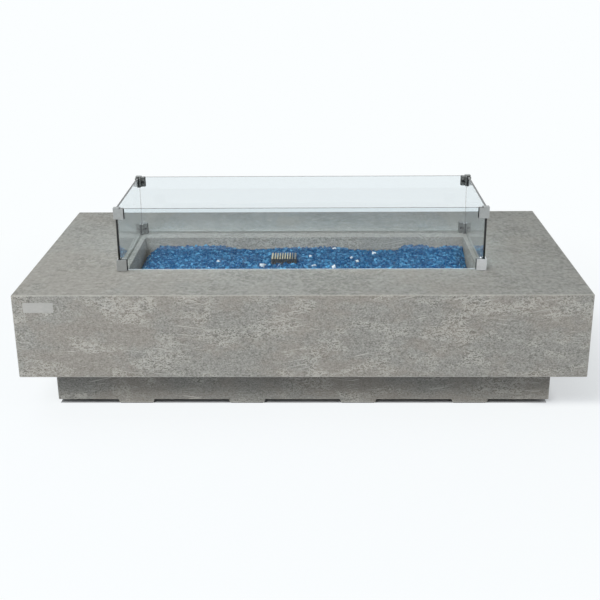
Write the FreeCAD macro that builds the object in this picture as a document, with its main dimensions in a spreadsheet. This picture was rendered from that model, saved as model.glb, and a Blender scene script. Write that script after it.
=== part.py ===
import FreeCAD, Part
import math
import os
import re

import Sketcher

# Driving sizes in millimetres. The row frame stands on the floor: X to the right, Y away from the
# front, Z up, with the origin under the middle of the table.
SIZES = {
    # Concrete body
    "table_length": 1540,
    "table_depth": 840,
    "slab_height": 237,
    "top_thickness": 25,
    "apron_wall": 22,
    "arris_radius": 3,
    # Well in the top, nearer to the front than to the rear
    "well_length": 990,
    "well_depth": 320,
    "well_shift": -43,
    "well_arris": 1.5,
    "skirt_wall": 22,
    "ledge_drop": 78,
    "ledge_width": 18,
    "ledge_thickness": 20,
    # Plinth, its pads and glides
    "plinth_height": 103,
    "plinth_inset": 80,
    "plinth_wall": 30,
    "plinth_arris": 2,
    "flange_width": 40,
    "flange_thickness": 20,
    "pad_height": 10,
    "pad_width": 102,
    "pad_taper": 3,
    "pad_pitch": 313,
    "end_pad_pitch": 340,
    "glide_height": 3,
    "glide_margin": 3,
    # Bare name plate in the front face
    "name_plate_length": 80,
    "name_plate_height": 28,
    "name_plate_thickness": 1.2,
    "name_plate_side": 30,
    "name_plate_drop": 21,
    "plate_clearance": 0.2,
    # Underside panel and steel frame
    "panel_thickness": 12,
    "panel_clearance": 1,
    "panel_window_side": 100,
    "panel_window_margin": 40,
    "rail_width": 60,
    "rail_height": 30,
    "tube_wall": 2.5,
    "cross_width": 40,
    "cross_inset": 130,
    "post_width": 40,
    "post_inset": 70,
    "post_plate_length": 90,
    "post_plate_thickness": 6,
    "bolt_diameter": 8,
    "bolt_head_flats": 13,
    "bolt_head_height": 5.3,
    "nut_height": 6.5,
    "bolt_clearance": 0.5,
    "bolt_end_gap": 1,
    "thread_clearance": 0.1,
    "post_bolt_spread": 32,
    "plinth_bolt_gap": 65,
    "insert_diameter": 12,
    "insert_length": 15,
    # Burner pan
    "sheet_thickness": 1.5,
    "pan_clearance": 3,
    "pan_depth": 45,
    "tray_clearance": 2,
    "pan_screw_diameter": 4,
    "pan_screw_length": 12,
    "pan_screw_head": 8,
    "pan_screw_head_height": 2.5,
    "pan_screw_spread": 460,
    "screw_end_gap": 1,
    "drain_diameter": 8,
    "drain_spread": 380,
    # H burner
    "burner_length": 860,
    "burner_diameter": 25.4,
    "burner_wall": 1.5,
    "burner_mouth": 20,
    "burner_spread": 75,
    "burner_lift": 46.5,
    "burner_place": 60,
    "port_diameter": 2.5,
    "port_count": 28,
    "port_margin": 25,
    "standoff_diameter": 12,
    "standoff_spread": 330,
    "weld_gap": 0.05,
    "overcut": 1,
    "riser_diameter": 21.3,
    "riser_wall": 2.6,
    "fit_clearance": 0.05,
    "locknut_flats": 30,
    "locknut_height": 6,
    "elbow_drop": 38,
    "elbow_diameter": 32,
    "elbow_reach": 26,
    "elbow_arm_diameter": 28,
    "elbow_arm_bore": 14,
    "mixer_diameter": 24,
    "mixer_length": 55,
    "mixer_window": 8,
    "orifice_flats": 19,
    "orifice_length": 18,
    "orifice_bore": 2.2,
    # Pilot and its cage
    "hood_length": 73,
    "hood_depth": 61,
    "hood_height": 79,
    "hood_side": -57.5,
    "hood_back": -37.5,
    "hood_drop": 12,
    "hood_sheet": 1.2,
    "slot_count": 9,
    "slot_width": 3.8,
    "slot_height": 42,
    "bracket_sheet": 2,
    "pilot_diameter": 10,
    "pilot_length": 50,
    "pilot_jet": 3.4,
    "pilot_throat_bore": 5,
    "thermocouple_diameter": 5,
    "thermocouple_length": 60,
    "electrode_diameter": 8,
    "electrode_length": 42,
    "electrode_tip": 2,
    "electrode_tip_length": 14,
    "pilot_spacing": 16,
    "hole_clearance": 0.3,
    # Bed of fire glass
    "bed_drop": 37,
    "bed_end_drop": 72,
    "bed_slope_length": 46,
    "bed_middle": 63,
    "bed_clearance": 0.5,
    # Control niche in the right end
    "box_length": 186,
    "box_height": 96,
    "box_depth": 62,
    "box_sheet": 1.2,
    "box_flange": 10,
    "box_level": 119,
    "window_clearance": 1,
    "rebate_depth": 2,
    "box_screw_diameter": 4,
    "box_screw_length": 16,
    "box_screw_head": 7,
    "box_screw_head_height": 0.8,
    # Valve and knob
    "valve_side": -40,
    "valve_length": 45,
    "valve_width": 70,
    "valve_height": 50,
    "valve_neck": 24,
    "valve_neck_length": 8,
    "nose_diameter": 14,
    "nose_length": 8,
    "valve_nut_flats": 19,
    "valve_nut_height": 4,
    "port_boss": 18,
    "port_boss_length": 14,
    "port_spread": 20,
    "port_drop": 10,
    "small_port_boss": 10,
    "small_port_length": 8,
    "small_port_rise": 15,
    "small_port_spread": 10,
    "stem_diameter": 6,
    "stem_depth": 18,
    "knob_travel": 4,
    "spring_gap": 8,
    "spring_coil": 9.5,
    "spring_wire": 1,
    "seat_diameter": 13,
    "seat_thickness": 2,
    "knob_diameter": 44,
    "knob_depth": 24,
    "knob_wall": 4,
    "knob_grip_depth": 18,
    "knob_taper": 1,
    "pointer_width": 2,
    "pointer_length": 8,
    "pointer_depth": 1,
    "flute_count": 12,
    "flute_radius": 4,
    "knob_clearance": 1,
    "bezel_diameter": 74,
    "bezel_thickness": 1.5,
    "bezel_mark": 3,
    "bezel_mark_inset": 4.5,
    "bezel_mark_height": 0.6,
    # Igniter
    "igniter_side": 50,
    "igniter_diameter": 21,
    "igniter_bore": 15.5,
    "igniter_length": 68,
    "igniter_floor": 4,
    "igniter_collar": 30,
    "igniter_collar_height": 2.5,
    "igniter_nut_flats": 30,
    "igniter_nut_height": 5,
    "battery_diameter": 14.5,
    "battery_length": 50.5,
    "battery_tip": 1.5,
    "battery_tip_diameter": 5.5,
    "cap_diameter": 28,
    "cap_depth": 9,
    "cap_wall": 2,
    "cap_gap": 0.3,
    "button_diameter": 15.8,
    "button_bore": 16,
    "button_flange": 20,
    "button_flange_height": 2.6,
    "button_stand": 6,
    "button_spring_coil": 11,
    # Gas inlet and lines
    "inlet_side": 60,
    "inlet_level": 60,
    "inlet_thread": 15.875,
    "inlet_bore": 8,
    "inlet_reach": 20,
    "inlet_flats": 24,
    "inlet_flange": 7,
    "inlet_tail": 12,
    "inlet_nut_height": 7,
    "hose_diameter": 12,
    "flare_nut_flats": 19,
    "flare_nut_length": 14,
    "pilot_tube_diameter": 6,
    "lead_diameter": 3,
    # Glass wind guard
    "guard_length": 1029,
    "guard_depth": 386,
    "guard_shift": -22,
    "guard_side_shift": -3.5,
    "guard_top": 181,
    "glass_thickness": 6,
    "pane_gap": 1,
    "clip_size": 28,
    "clip_height": 32,
    "clip_plate": 3.5,
    "clip_inner": 4,
    "clip_web": 1.5,
    "clip_cap": 3,
    "liner": 1.5,
    "liner_lip": 1.5,
    "foot_height": 1,
    "foot_diameter": 15,
    "clip_screw_diameter": 4,
    "clip_screw_head": 7,
    "clip_screw_head_height": 2.5,
    "clip_screw_socket": 3,
    "clip_screw_inset": 5,
}

doc = FreeCAD.newDocument("FirePitTable")
sheet = doc.addObject("Spreadsheet::Sheet", "Sizes")
for row, (alias, size) in enumerate(SIZES.items(), start=1):
    sheet.set(f"A{row}", alias)
    sheet.set(f"B{row}", str(size))
    sheet.setAlias(f"B{row}", alias)
doc.recompute()

# Levels and edges that several pieces share, worked out from the sizes
PLINTH_BOTTOM = "(glide_height + pad_height)"
SLAB_BOTTOM = f"({PLINTH_BOTTOM} + plinth_height)"
TABLE_TOP = f"({SLAB_BOTTOM} + slab_height)"
CEILING = f"({TABLE_TOP} - top_thickness)"
LEDGE_TOP = f"({TABLE_TOP} - ledge_drop)"
SKIRT_BOTTOM = f"({LEDGE_TOP} - ledge_thickness)"
PANEL_TOP = f"({SLAB_BOTTOM} + panel_thickness)"
RAIL_TOP = f"({PANEL_TOP} + rail_height)"
WELL_FRONT = "(well_shift - well_depth / 2)"
WELL_REAR = "(well_shift + well_depth / 2)"
PLINTH_X = "(table_length / 2 - plinth_inset)"
PLINTH_Y = "(table_depth / 2 - plinth_inset)"
FLANGE_LINE = "(table_depth / 2 - plinth_inset - plinth_wall - flange_width / 2)"
CROSS_LINE = f"({PLINTH_X} - cross_inset)"
POST_LINE = f"({PLINTH_X} - post_inset)"
PLINTH_BOLT_LINE = f"({POST_LINE} - plinth_bolt_gap)"
PAN_BOTTOM = f"({LEDGE_TOP} - pan_depth)"
PAN_FLOOR = f"({PAN_BOTTOM} + sheet_thickness)"
BURNER_LEVEL = f"({PAN_FLOOR} + burner_lift)"
ELBOW_LEVEL = f"({PAN_BOTTOM} - elbow_drop)"
HOOD_TOP = f"({TABLE_TOP} - hood_drop)"
HOOD_BOTTOM = f"({HOOD_TOP} - hood_height)"
BOX_LEVEL = f"({SLAB_BOTTOM} + box_level)"
BOX_MOUTH = "(table_length / 2 - rebate_depth + box_sheet)"
BOX_BACK = "(table_length / 2 - box_depth)"
BOX_PANEL = f"({BOX_BACK} + box_sheet)"
GLASS_TOP = f"({TABLE_TOP} + guard_top)"
GLASS_BOTTOM = f"({TABLE_TOP} + foot_height + clip_web + liner)"

WELL_PLAN = ("-well_length / 2", "well_length / 2", WELL_FRONT, WELL_REAR)
BOX_PLAN = (
    "-box_length / 2",
    "box_length / 2",
    f"{BOX_LEVEL} - box_height / 2",
    f"{BOX_LEVEL} + box_height / 2",
)
NAME_PLATE_PLAN = (
    "-table_length / 2 + name_plate_side",
    "-table_length / 2 + name_plate_side + name_plate_length",
    f"{TABLE_TOP} - name_plate_drop - name_plate_height",
    f"{TABLE_TOP} - name_plate_drop",
)
PLINTH_PLAN = (f"-{PLINTH_X}", PLINTH_X, f"-{PLINTH_Y}", PLINTH_Y)
HOOD_PLAN = (
    "hood_side - hood_length / 2",
    "hood_side + hood_length / 2",
    "hood_back - hood_depth / 2",
    "hood_back + hood_depth / 2",
)

PLANES = {"XY": ("XY_Plane", 1), "XZ": ("XZ_Plane", -1), "YZ": ("YZ_Plane", 1)}
AXES = {"x": FreeCAD.Vector(1, 0, 0), "y": FreeCAD.Vector(0, 1, 0), "z": FreeCAD.Vector(0, 0, 1)}
parts = []


def expression(text):
    """Turns every size's name in the text into its cell of the sheet."""
    return re.sub(r"[a-z_]+", lambda word: ("Sizes." if word[0] in SIZES else "") + word[0], text)


def value(text):
    """The number that an expression of sizes stands for."""
    return float(sheet.evalExpression(expression(str(text))))


def bind(item, target, text):
    """Binds one property of an object to an expression of sizes."""
    item.setExpression(target, expression(str(text)))


def keep(item, label):
    """Takes an object as a finished sub-part with its own label."""
    item.Label = label
    parts.append(item)
    return item


def box(name, low, high):
    """A box between two corners, each given as three expressions."""
    item = doc.addObject("Part::Box", name)
    for side, axis, start, end in zip(("Length", "Width", "Height"), "xyz", low, high):
        bind(item, side, f"({end}) - ({start})")
        bind(item, f"Placement.Base.{axis}", start)
    return item


def rod(name, start, axis, length, diameter):
    """A cylinder from a start point along an axis of the frame."""
    item = doc.addObject("Part::Cylinder", name)
    item.Placement = FreeCAD.Placement(FreeCAD.Vector(), FreeCAD.Rotation(AXES["z"], AXES[axis]))
    bind(item, "Radius", f"({diameter}) / 2")
    bind(item, "Height", length)
    for letter, place in zip("xyz", start):
        bind(item, f"Placement.Base.{letter}", place)
    return item


def hexagon(name, start, axis, length, flats):
    """A hexagonal prism from a start point along an axis, given its size across flats."""
    item = doc.addObject("Part::Prism", name)
    item.Polygon = 6
    item.Placement = FreeCAD.Placement(FreeCAD.Vector(), FreeCAD.Rotation(AXES["z"], AXES[axis]))
    bind(item, "Circumradius", f"({flats}) / 2 / cos(30)")
    bind(item, "Height", length)
    for letter, place in zip("xyz", start):
        bind(item, f"Placement.Base.{letter}", place)
    return item


def ring(name, start, axis, length, outside, inside):
    """A round tube or washer from a start point along an axis."""
    outer = rod(name + "_outer", start, axis, length, outside)
    return cut(name, outer, [rod(name + "_inner", start, axis, length, inside)])


def nut(name, start, axis, height, flats, bore):
    """A hexagonal nut whose hole clears what goes through it by the fit's clearance."""
    block = hexagon(name + "_block", start, axis, height, flats)
    return cut(name, block, [rod(name + "_bore", start, axis, height, f"{bore} + 2 * fit_clearance")])


def hex_bolt(name, x, y, under_head, grip):
    """A hexagon bolt that points up, with the face that its head bears on at a level."""
    head_start = (x, y, f"{under_head} - bolt_head_height")
    head = hexagon(name + "_head", head_start, "z", "bolt_head_height", "bolt_head_flats")
    return fuse(name, [head, rod(name + "_shank", (x, y, under_head), "z", grip, "bolt_diameter")])


def fuse(name, items):
    """Joins objects into one solid."""
    item = doc.addObject("Part::MultiFuse", name)
    item.Shapes = items
    return item


def cut(name, base, tools):
    """Takes the tools away from the base."""
    item = doc.addObject("Part::Cut", name)
    item.Base = base
    item.Tool = tools[0] if len(tools) == 1 else fuse(name + "_tools", tools)
    return item


def group(name, items):
    """Like pieces kept together as separate solids of one sub-part."""
    item = doc.addObject("Part::Compound", name)
    item.Links = items
    return keep(item, name)


def rectangle(left, right, low, high, inset="0"):
    """The four corners of a rectangle, as expressions, drawn in on every side by an inset."""
    left, right = f"{left} + {inset}", f"{right} - ({inset})"
    low, high = f"{low} + {inset}", f"{high} - ({inset})"
    return [(left, low), (right, low), (right, high), (left, high)]


def draw_polygon(drawing, corners):
    """Draws a closed polygon whose corners are bound to expressions."""
    first = drawing.GeometryCount
    spots = [FreeCAD.Vector(value(x), value(y), 0) for x, y in corners]
    count = len(spots)
    for i in range(count):
        drawing.addGeometry(Part.LineSegment(spots[i], spots[(i + 1) % count]), False)
    for i in range(count):
        drawing.addConstraint(Sketcher.Constraint("Coincident", first + i, 2, first + (i + 1) % count, 1))
    for i, (x, y) in enumerate(corners):
        fix_point(drawing, first + i, 1, x, y)


def fix_point(drawing, edge, end, x, y):
    """Binds one point of a sketch to two expressions, or lays it on an axis where one is 0."""
    for kind, text, axis in (("DistanceX", x, -2), ("DistanceY", y, -1)):
        if str(text) == "0":
            drawing.addConstraint(Sketcher.Constraint("PointOnObject", edge, end, axis))
            continue
        drawing.addConstraint(Sketcher.Constraint(kind, -1, 1, edge, end, value(text)))
        bind(drawing, f"Constraints[{drawing.ConstraintCount - 1}]", text)


def draw_circle(drawing, x, y, diameter):
    """Draws a circle with its centre and radius bound to expressions."""
    edge = drawing.GeometryCount
    centre = FreeCAD.Vector(value(x), value(y), 0)
    drawing.addGeometry(Part.Circle(centre, AXES["z"], value(diameter) / 2), False)
    drawing.addConstraint(Sketcher.Constraint("Radius", edge, value(diameter) / 2))
    bind(drawing, f"Constraints[{drawing.ConstraintCount - 1}]", f"({diameter}) / 2")
    fix_point(drawing, edge, 3, x, y)


def sketch(owner, name, plane, level, shapes):
    """A sketch on one of the body's origin planes, moved to a level, with polygons and circles."""
    role, sign = PLANES[plane]
    drawing = owner.newObject("Sketcher::SketchObject", name)
    support = next(item for item in owner.Origin.OriginFeatures if item.Role == role)
    drawing.AttachmentSupport = [(support, "")]
    drawing.MapMode = "FlatFace"
    bind(drawing, "AttachmentOffset.Base.z", f"{sign} * ({level})")
    for shape in shapes:
        if isinstance(shape, tuple):
            draw_circle(drawing, *shape)
        else:
            draw_polygon(drawing, shape)
    return drawing


def feature(owner, kind, name, plane, level, shapes, length, towards):
    """A Pad or Pocket from a sketch at a level, towards the plus or minus side of the frame."""
    drawing = sketch(owner, name + "_sketch", plane, level, shapes)
    item = owner.newObject("PartDesign::" + kind, name)
    item.Profile = drawing
    bind(item, "Length", length)
    along_normal = towards == PLANES[plane][1]
    item.Reversed = along_normal == (kind == "Pocket")
    drawing.Visibility = False
    return item


def revolve(owner, name, profile):
    """A solid turned about the body's X axis from a half profile of (along, outwards) corners."""
    drawing = sketch(owner, name + "_sketch", "XZ", "0", [profile])
    item = owner.newObject("PartDesign::Revolution", name)
    item.Profile = drawing
    item.ReferenceAxis = (drawing, ["H_Axis"])
    item.Angle = 360
    return item


def repeat(owner, name, original, axis, count, length):
    """A row of copies of a feature along an axis of its sketch."""
    item = owner.newObject("PartDesign::LinearPattern", name)
    item.Originals = [original]
    item.Direction = (original.Profile[0], [axis])
    bind(item, "Occurrences", count)
    bind(item, "Length", length)
    owner.Tip = item
    return item


def round_edges(owner, name, base, radius, test):
    """Rounds the edges of the body so far for which the test of their middle and direction holds."""
    doc.recompute()
    names = []
    for number, edge in enumerate(base.Shape.Edges, start=1):
        start, end = edge.Vertexes[0].Point, edge.Vertexes[-1].Point
        if test((start + end) / 2, (end - start).normalize() if start != end else AXES["z"]):
            names.append(f"Edge{number}")
    item = owner.newObject("PartDesign::Fillet", name)
    item.Base = (base, names)
    bind(item, "Radius", radius)
    return item


def new_body(name):
    """A new body that is kept as a sub-part."""
    return keep(doc.addObject("PartDesign::Body", name), name)


def place(item, x, y, z):
    """Binds an object's place to three expressions."""
    for letter, text in zip("xyz", (x, y, z)):
        bind(item, f"Placement.Base.{letter}", text)


BOLT_HOLE = "bolt_diameter + bolt_clearance"
POST_PLACES = [(f"{a} * {POST_LINE}", f"{b} * {FLANGE_LINE}") for a in (-1, 0, 1) for b in (-1, 1)]
POST_BOLTS = [(f"{x} + {s} * post_bolt_spread", y) for x, y in POST_PLACES for s in (-1, 1)]
PLINTH_BOLTS = [
    (f"{a} * {PLINTH_BOLT_LINE} / 3", f"{b} * {FLANGE_LINE}") for a in (-3, -1, 1, 3) for b in (-1, 1)
]
BOX_SCREWS = [
    (f"{a} * (box_length / 2 + box_flange / 2)", f"{BOX_LEVEL} + {b} * (box_height / 2 - box_flange)")
    for a in (-1, 1)
    for b in (-1, 1)
]
PAN_SCREWS = [
    (f"{a} * pan_screw_spread", f"well_shift + {b} * (well_depth / 2 - ledge_width / 2)")
    for a in (-1, 1)
    for b in (-1, 1)
]


def make_table_shell():
    """The hollow concrete body: top, four aprons, and the skirt and ledge round the well."""
    body = new_body("table_shell")
    plan = ("-table_length / 2", "table_length / 2", "-table_depth / 2", "table_depth / 2")
    outside = rectangle(*plan)
    inside = rectangle(*plan, "apron_wall")
    skirt = rectangle(*WELL_PLAN, "-skirt_wall")
    block = feature(body, "Pad", "slab_block", "XY", SLAB_BOTTOM, [outside], "slab_height", 1)
    round_edges(body, "slab_arris", block, "arris_radius", lambda middle, line: True)
    feature(
        body, "Pocket", "slab_underside", "XY", SLAB_BOTTOM, [inside], f"{SKIRT_BOTTOM} - {SLAB_BOTTOM}", 1
    )
    feature(
        body, "Pocket", "slab_hollow", "XY", SLAB_BOTTOM, [inside, skirt], f"{CEILING} - {SLAB_BOTTOM}", 1
    )
    feature(body, "Pocket", "well", "XY", TABLE_TOP, [rectangle(*WELL_PLAN)], "ledge_drop", -1)
    window = rectangle(*WELL_PLAN, "ledge_width")
    opening = feature(body, "Pocket", "ledge_window", "XY", TABLE_TOP, [window], "slab_height", -1)
    top, edge_x, edge_y = value(TABLE_TOP), value("well_length") / 2, value("well_depth") / 2
    shift = value("well_shift")
    round_edges(
        body,
        "well_edge",
        opening,
        "well_arris",
        lambda middle, line: abs(middle.z - top) < 0.01
        and abs(middle.x) < edge_x + 0.01
        and abs(middle.y - shift) < edge_y + 0.01,
    )
    mouth = rectangle(*BOX_PLAN, "-window_clearance")
    feature(body, "Pocket", "box_mouth", "YZ", "table_length / 2", [mouth], "apron_wall", -1)
    rebate = rectangle(*BOX_PLAN, "-box_flange - plate_clearance")
    feature(body, "Pocket", "box_rebate", "YZ", "table_length / 2", [rebate], "rebate_depth", -1)
    holes = [(y, z, "box_screw_diameter + thread_clearance") for y, z in BOX_SCREWS]
    depth = "rebate_depth + box_screw_length"
    feature(body, "Pocket", "box_screw_holes", "YZ", "table_length / 2", holes, depth, -1)
    seat = rectangle(*NAME_PLATE_PLAN, "-plate_clearance")
    feature(body, "Pocket", "name_plate_seat", "XZ", "-table_depth / 2", [seat], "name_plate_thickness", 1)
    holes = [(x, y, "insert_diameter") for x, y in POST_BOLTS]
    feature(body, "Pocket", "insert_holes", "XY", CEILING, holes, "insert_length", 1)
    holes = [(x, y, "pan_screw_diameter + thread_clearance") for x, y in PAN_SCREWS]
    feature(body, "Pocket", "pan_screw_holes", "XY", LEDGE_TOP, holes, "pan_screw_length", -1)


def pad_profile(centre, top, bottom):
    """The tapered outline of one pad under the plinth, seen square on."""
    return [
        (f"{centre} - pad_width / 2", top),
        (f"{centre} - pad_width / 2 + pad_taper", bottom),
        (f"{centre} + pad_width / 2 - pad_taper", bottom),
        (f"{centre} + pad_width / 2", top),
    ]


LONG_PADS = [f"{k} * pad_pitch" for k in (-1.5, -0.5, 0.5, 1.5)]
END_PADS = [f"{k} * end_pad_pitch" for k in (-0.5, 0.5)]


def make_plinth():
    """The set-back plinth: a ring with an inner flange at its top and tapered pads below."""
    body = new_body("plinth_shell")
    outside = rectangle(*PLINTH_PLAN)
    block = feature(body, "Pad", "plinth_block", "XY", PLINTH_BOTTOM, [outside], "plinth_height", 1)
    round_edges(body, "plinth_corners", block, "plinth_arris", lambda middle, line: abs(line.z) > 0.9)
    hollow = rectangle(*PLINTH_PLAN, "plinth_wall")
    depth = "plinth_height - flange_thickness"
    feature(body, "Pocket", "plinth_hollow", "XY", PLINTH_BOTTOM, [hollow], depth, 1)
    window = rectangle(*PLINTH_PLAN, "(plinth_wall + flange_width)")
    feature(body, "Pocket", "flange_window", "XY", SLAB_BOTTOM, [window], "plinth_height", -1)
    holes = [(x, y, BOLT_HOLE) for x, y in PLINTH_BOLTS]
    feature(body, "Pocket", "plinth_bolt_holes", "XY", SLAB_BOTTOM, holes, "flange_thickness", -1)
    hole = ("inlet_side", "inlet_level", "inlet_thread + hole_clearance")
    feature(body, "Pocket", "inlet_hole", "YZ", PLINTH_X, [hole], "plinth_wall", -1)
    for name, plane, level, towards, centres in (
        ("front_pads", "XZ", f"-{PLINTH_Y}", 1, LONG_PADS),
        ("rear_pads", "XZ", PLINTH_Y, -1, LONG_PADS),
        ("left_pads", "YZ", f"-{PLINTH_X}", 1, END_PADS),
        ("right_pads", "YZ", PLINTH_X, -1, END_PADS),
    ):
        pads = [pad_profile(centre, PLINTH_BOTTOM, "glide_height") for centre in centres]
        feature(body, "Pad", name, plane, level, pads, "plinth_wall", towards)


def make_glides():
    """A thin rubber glide under each pad; the table stands on them."""
    reach = "(pad_width / 2 - pad_taper - glide_margin)"
    items = []
    for side in (-1, 1):
        for number, centre in enumerate(LONG_PADS):
            line = f"{side} * ({PLINTH_Y} - plinth_wall / 2)"
            low = (f"{centre} - {reach}", f"{line} - plinth_wall / 2 + glide_margin", "0")
            high = (f"{centre} + {reach}", f"{line} + plinth_wall / 2 - glide_margin", "glide_height")
            items.append(box(f"long_glide_{side + 1}_{number}", low, high))
        for number, centre in enumerate(END_PADS):
            line = f"{side} * ({PLINTH_X} - plinth_wall / 2)"
            low = (f"{line} - plinth_wall / 2 + glide_margin", f"{centre} - {reach}", "0")
            high = (f"{line} + plinth_wall / 2 - glide_margin", f"{centre} + {reach}", "glide_height")
            items.append(box(f"end_glide_{side + 1}_{number}", low, high))
    group("plinth_glides", items)


def make_name_plate():
    """The bare plate, flush with the front face."""
    left, right, low, high = NAME_PLATE_PLAN
    front, back = "-table_depth / 2", "-table_depth / 2 + name_plate_thickness"
    keep(box("name_plate", (left, front, low), (right, back, high)), "name_plate")


def make_underside_panel():
    """The board that closes the body's underside and sits on the plinth's flange."""
    reach_x = "(table_length / 2 - apron_wall - panel_clearance)"
    reach_y = "(table_depth / 2 - apron_wall - panel_clearance)"
    board = box("panel_board", (f"-{reach_x}", f"-{reach_y}", SLAB_BOTTOM), (reach_x, reach_y, PANEL_TOP))
    window_x = f"({PLINTH_X} - panel_window_side)"
    window_y = f"({FLANGE_LINE} - panel_window_margin)"
    window = box(
        "panel_window",
        (f"-{window_x}", f"-{window_y}", f"{SLAB_BOTTOM} - overcut"),
        (window_x, window_y, f"{PANEL_TOP} + overcut"),
    )
    holes = [
        rod(f"panel_hole_{i}", (x, y, SLAB_BOTTOM), "z", "panel_thickness", BOLT_HOLE)
        for i, (x, y) in enumerate(PLINTH_BOLTS)
    ]
    keep(cut("underside_panel", board, [window] + holes), "underside_panel")


def square_tube(name, low, high, along, holes=()):
    """A rectangular steel tube between two corners, open at both ends of its long axis."""
    inner_low = [text if axis == along else f"{text} + tube_wall" for text, axis in zip(low, "xyz")]
    inner_high = [text if axis == along else f"{text} - tube_wall" for text, axis in zip(high, "xyz")]
    outer = box(name + "_outer", low, high)
    inner = box(name + "_inner", inner_low, inner_high)
    return cut(name, outer, [inner, *holes])


def make_frame():
    """Two rails on the panel over the plinth's flange, two cross members and six posts."""
    rails = []
    for side, sign in (("front", -1), ("rear", 1)):
        line = f"{sign} * {FLANGE_LINE}"
        low = (f"-{PLINTH_X}", f"{line} - rail_width / 2", PANEL_TOP)
        high = (PLINTH_X, f"{line} + rail_width / 2", RAIL_TOP)
        holes = [
            rod(f"rail_{side}_hole_{i}", (x, y, PANEL_TOP), "z", "tube_wall", BOLT_HOLE)
            for i, (x, y) in enumerate(PLINTH_BOLTS)
            if y.startswith(f"{sign} ")
        ]
        rails.append(square_tube(f"frame_rail_{side}", low, high, "x", holes))
    group("frame_rails", rails)
    crosses = []
    for side, sign in (("left", -1), ("right", 1)):
        line = f"{sign} * {CROSS_LINE}"
        reach = f"({FLANGE_LINE} - rail_width / 2)"
        low = (f"{line} - cross_width / 2", f"-{reach}", PANEL_TOP)
        high = (f"{line} + cross_width / 2", reach, RAIL_TOP)
        crosses.append(square_tube(f"frame_cross_{side}", low, high, "y"))
    group("frame_crosses", crosses)
    group("frame_posts", [make_post(f"post_{i}", x, y) for i, (x, y) in enumerate(POST_PLACES)])


def make_post(name, x, y):
    """One post from a rail up to the top, with a bolting plate welded on it."""
    plate_bottom = f"{CEILING} - post_plate_thickness"
    low = (f"{x} - post_width / 2", f"{y} - post_width / 2", RAIL_TOP)
    high = (f"{x} + post_width / 2", f"{y} + post_width / 2", plate_bottom)
    plate = box(
        name + "_plate",
        (f"{x} - post_plate_length / 2", f"{y} - post_width / 2", plate_bottom),
        (f"{x} + post_plate_length / 2", f"{y} + post_width / 2", CEILING),
    )
    tube = square_tube(name + "_tube", low, high, "z")
    holes = [
        rod(
            f"{name}_hole_{sign + 1}",
            (f"{x} + {sign} * post_bolt_spread", y, plate_bottom),
            "z",
            "post_plate_thickness",
            BOLT_HOLE,
        )
        for sign in (-1, 1)
    ]
    return cut(name, fuse(name + "_welded", [tube, plate]), holes)


def make_frame_fasteners():
    """Inserts cast in the top, the post bolts in them, and the bolts and nuts at the plinth."""
    inserts = []
    bolts = []
    nuts = []
    grip = "post_plate_thickness + insert_length - bolt_end_gap"
    for i, (x, y) in enumerate(POST_BOLTS):
        bore = "bolt_diameter + thread_clearance"
        inserts.append(ring(f"insert_{i}", (x, y, CEILING), "z", "insert_length", "insert_diameter", bore))
        bolts.append(hex_bolt(f"post_bolt_{i}", x, y, f"({CEILING} - post_plate_thickness)", grip))
    grip = "flange_thickness + panel_thickness + tube_wall + nut_height"
    for i, (x, y) in enumerate(PLINTH_BOLTS):
        bolts.append(hex_bolt(f"plinth_bolt_{i}", x, y, f"({SLAB_BOTTOM} - flange_thickness)", grip))
        start = (x, y, f"{PANEL_TOP} + tube_wall")
        nuts.append(nut(f"plinth_nut_{i}", start, "z", "nut_height", "bolt_head_flats", "bolt_diameter"))
    group("top_inserts", inserts)
    group("frame_bolts", bolts)
    group("plinth_nuts", nuts)


PILOT_X = "hood_side"
PILOT_LOW = f"({HOOD_BOTTOM} - 4 * bracket_sheet)"
THERMOCOUPLE_X = "(hood_side - pilot_spacing)"
ELECTRODE_X = "(hood_side + pilot_spacing)"


def make_burner_pan():
    """The drop-in tray: a flange on the ledge and a tray through the ledge's window."""
    body = new_body("burner_pan")
    flange = rectangle(*WELL_PLAN, "pan_clearance")
    tray = rectangle(*WELL_PLAN, "(ledge_width + tray_clearance)")
    inside = rectangle(*WELL_PLAN, "(ledge_width + tray_clearance + sheet_thickness)")
    top = f"({LEDGE_TOP} + sheet_thickness)"
    feature(body, "Pad", "pan_flange", "XY", LEDGE_TOP, [flange], "sheet_thickness", 1)
    feature(body, "Pad", "pan_tray", "XY", LEDGE_TOP, [tray], "pan_depth", -1)
    feature(body, "Pocket", "pan_inside", "XY", top, [inside], "pan_depth", -1)
    holes = [
        ("burner_place", "well_shift", "riser_diameter + hole_clearance"),
        (PILOT_X, "hood_back", "pilot_tube_diameter + hole_clearance"),
        (THERMOCOUPLE_X, "hood_back", "lead_diameter + hole_clearance"),
        (ELECTRODE_X, "hood_back", "lead_diameter + hole_clearance"),
    ]
    holes += [(f"{k} * drain_spread", "well_shift", "drain_diameter") for k in (-1, -0.5, 0.5, 1)]
    feature(body, "Pocket", "pan_floor_holes", "XY", PAN_FLOOR, holes, "sheet_thickness", -1)
    holes = [(x, y, "pan_screw_diameter + thread_clearance") for x, y in PAN_SCREWS]
    feature(body, "Pocket", "pan_flange_holes", "XY", top, holes, "sheet_thickness", -1)


def screw(name, family, under_head, axis, sign, length):
    """A round-headed screw whose shank runs from under its head along an axis, forwards or back."""
    index = "xyz".index(axis)
    start, head_start = list(under_head), list(under_head)
    if sign < 0:
        start[index] = f"{under_head[index]} - ({length})"
    else:
        head_start[index] = f"{under_head[index]} - {family}_head_height"
    shank = rod(name + "_shank", start, axis, length, f"{family}_diameter")
    head = rod(name + "_head", head_start, axis, f"{family}_head_height", f"{family}_head")
    return fuse(name, [shank, head])


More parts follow.
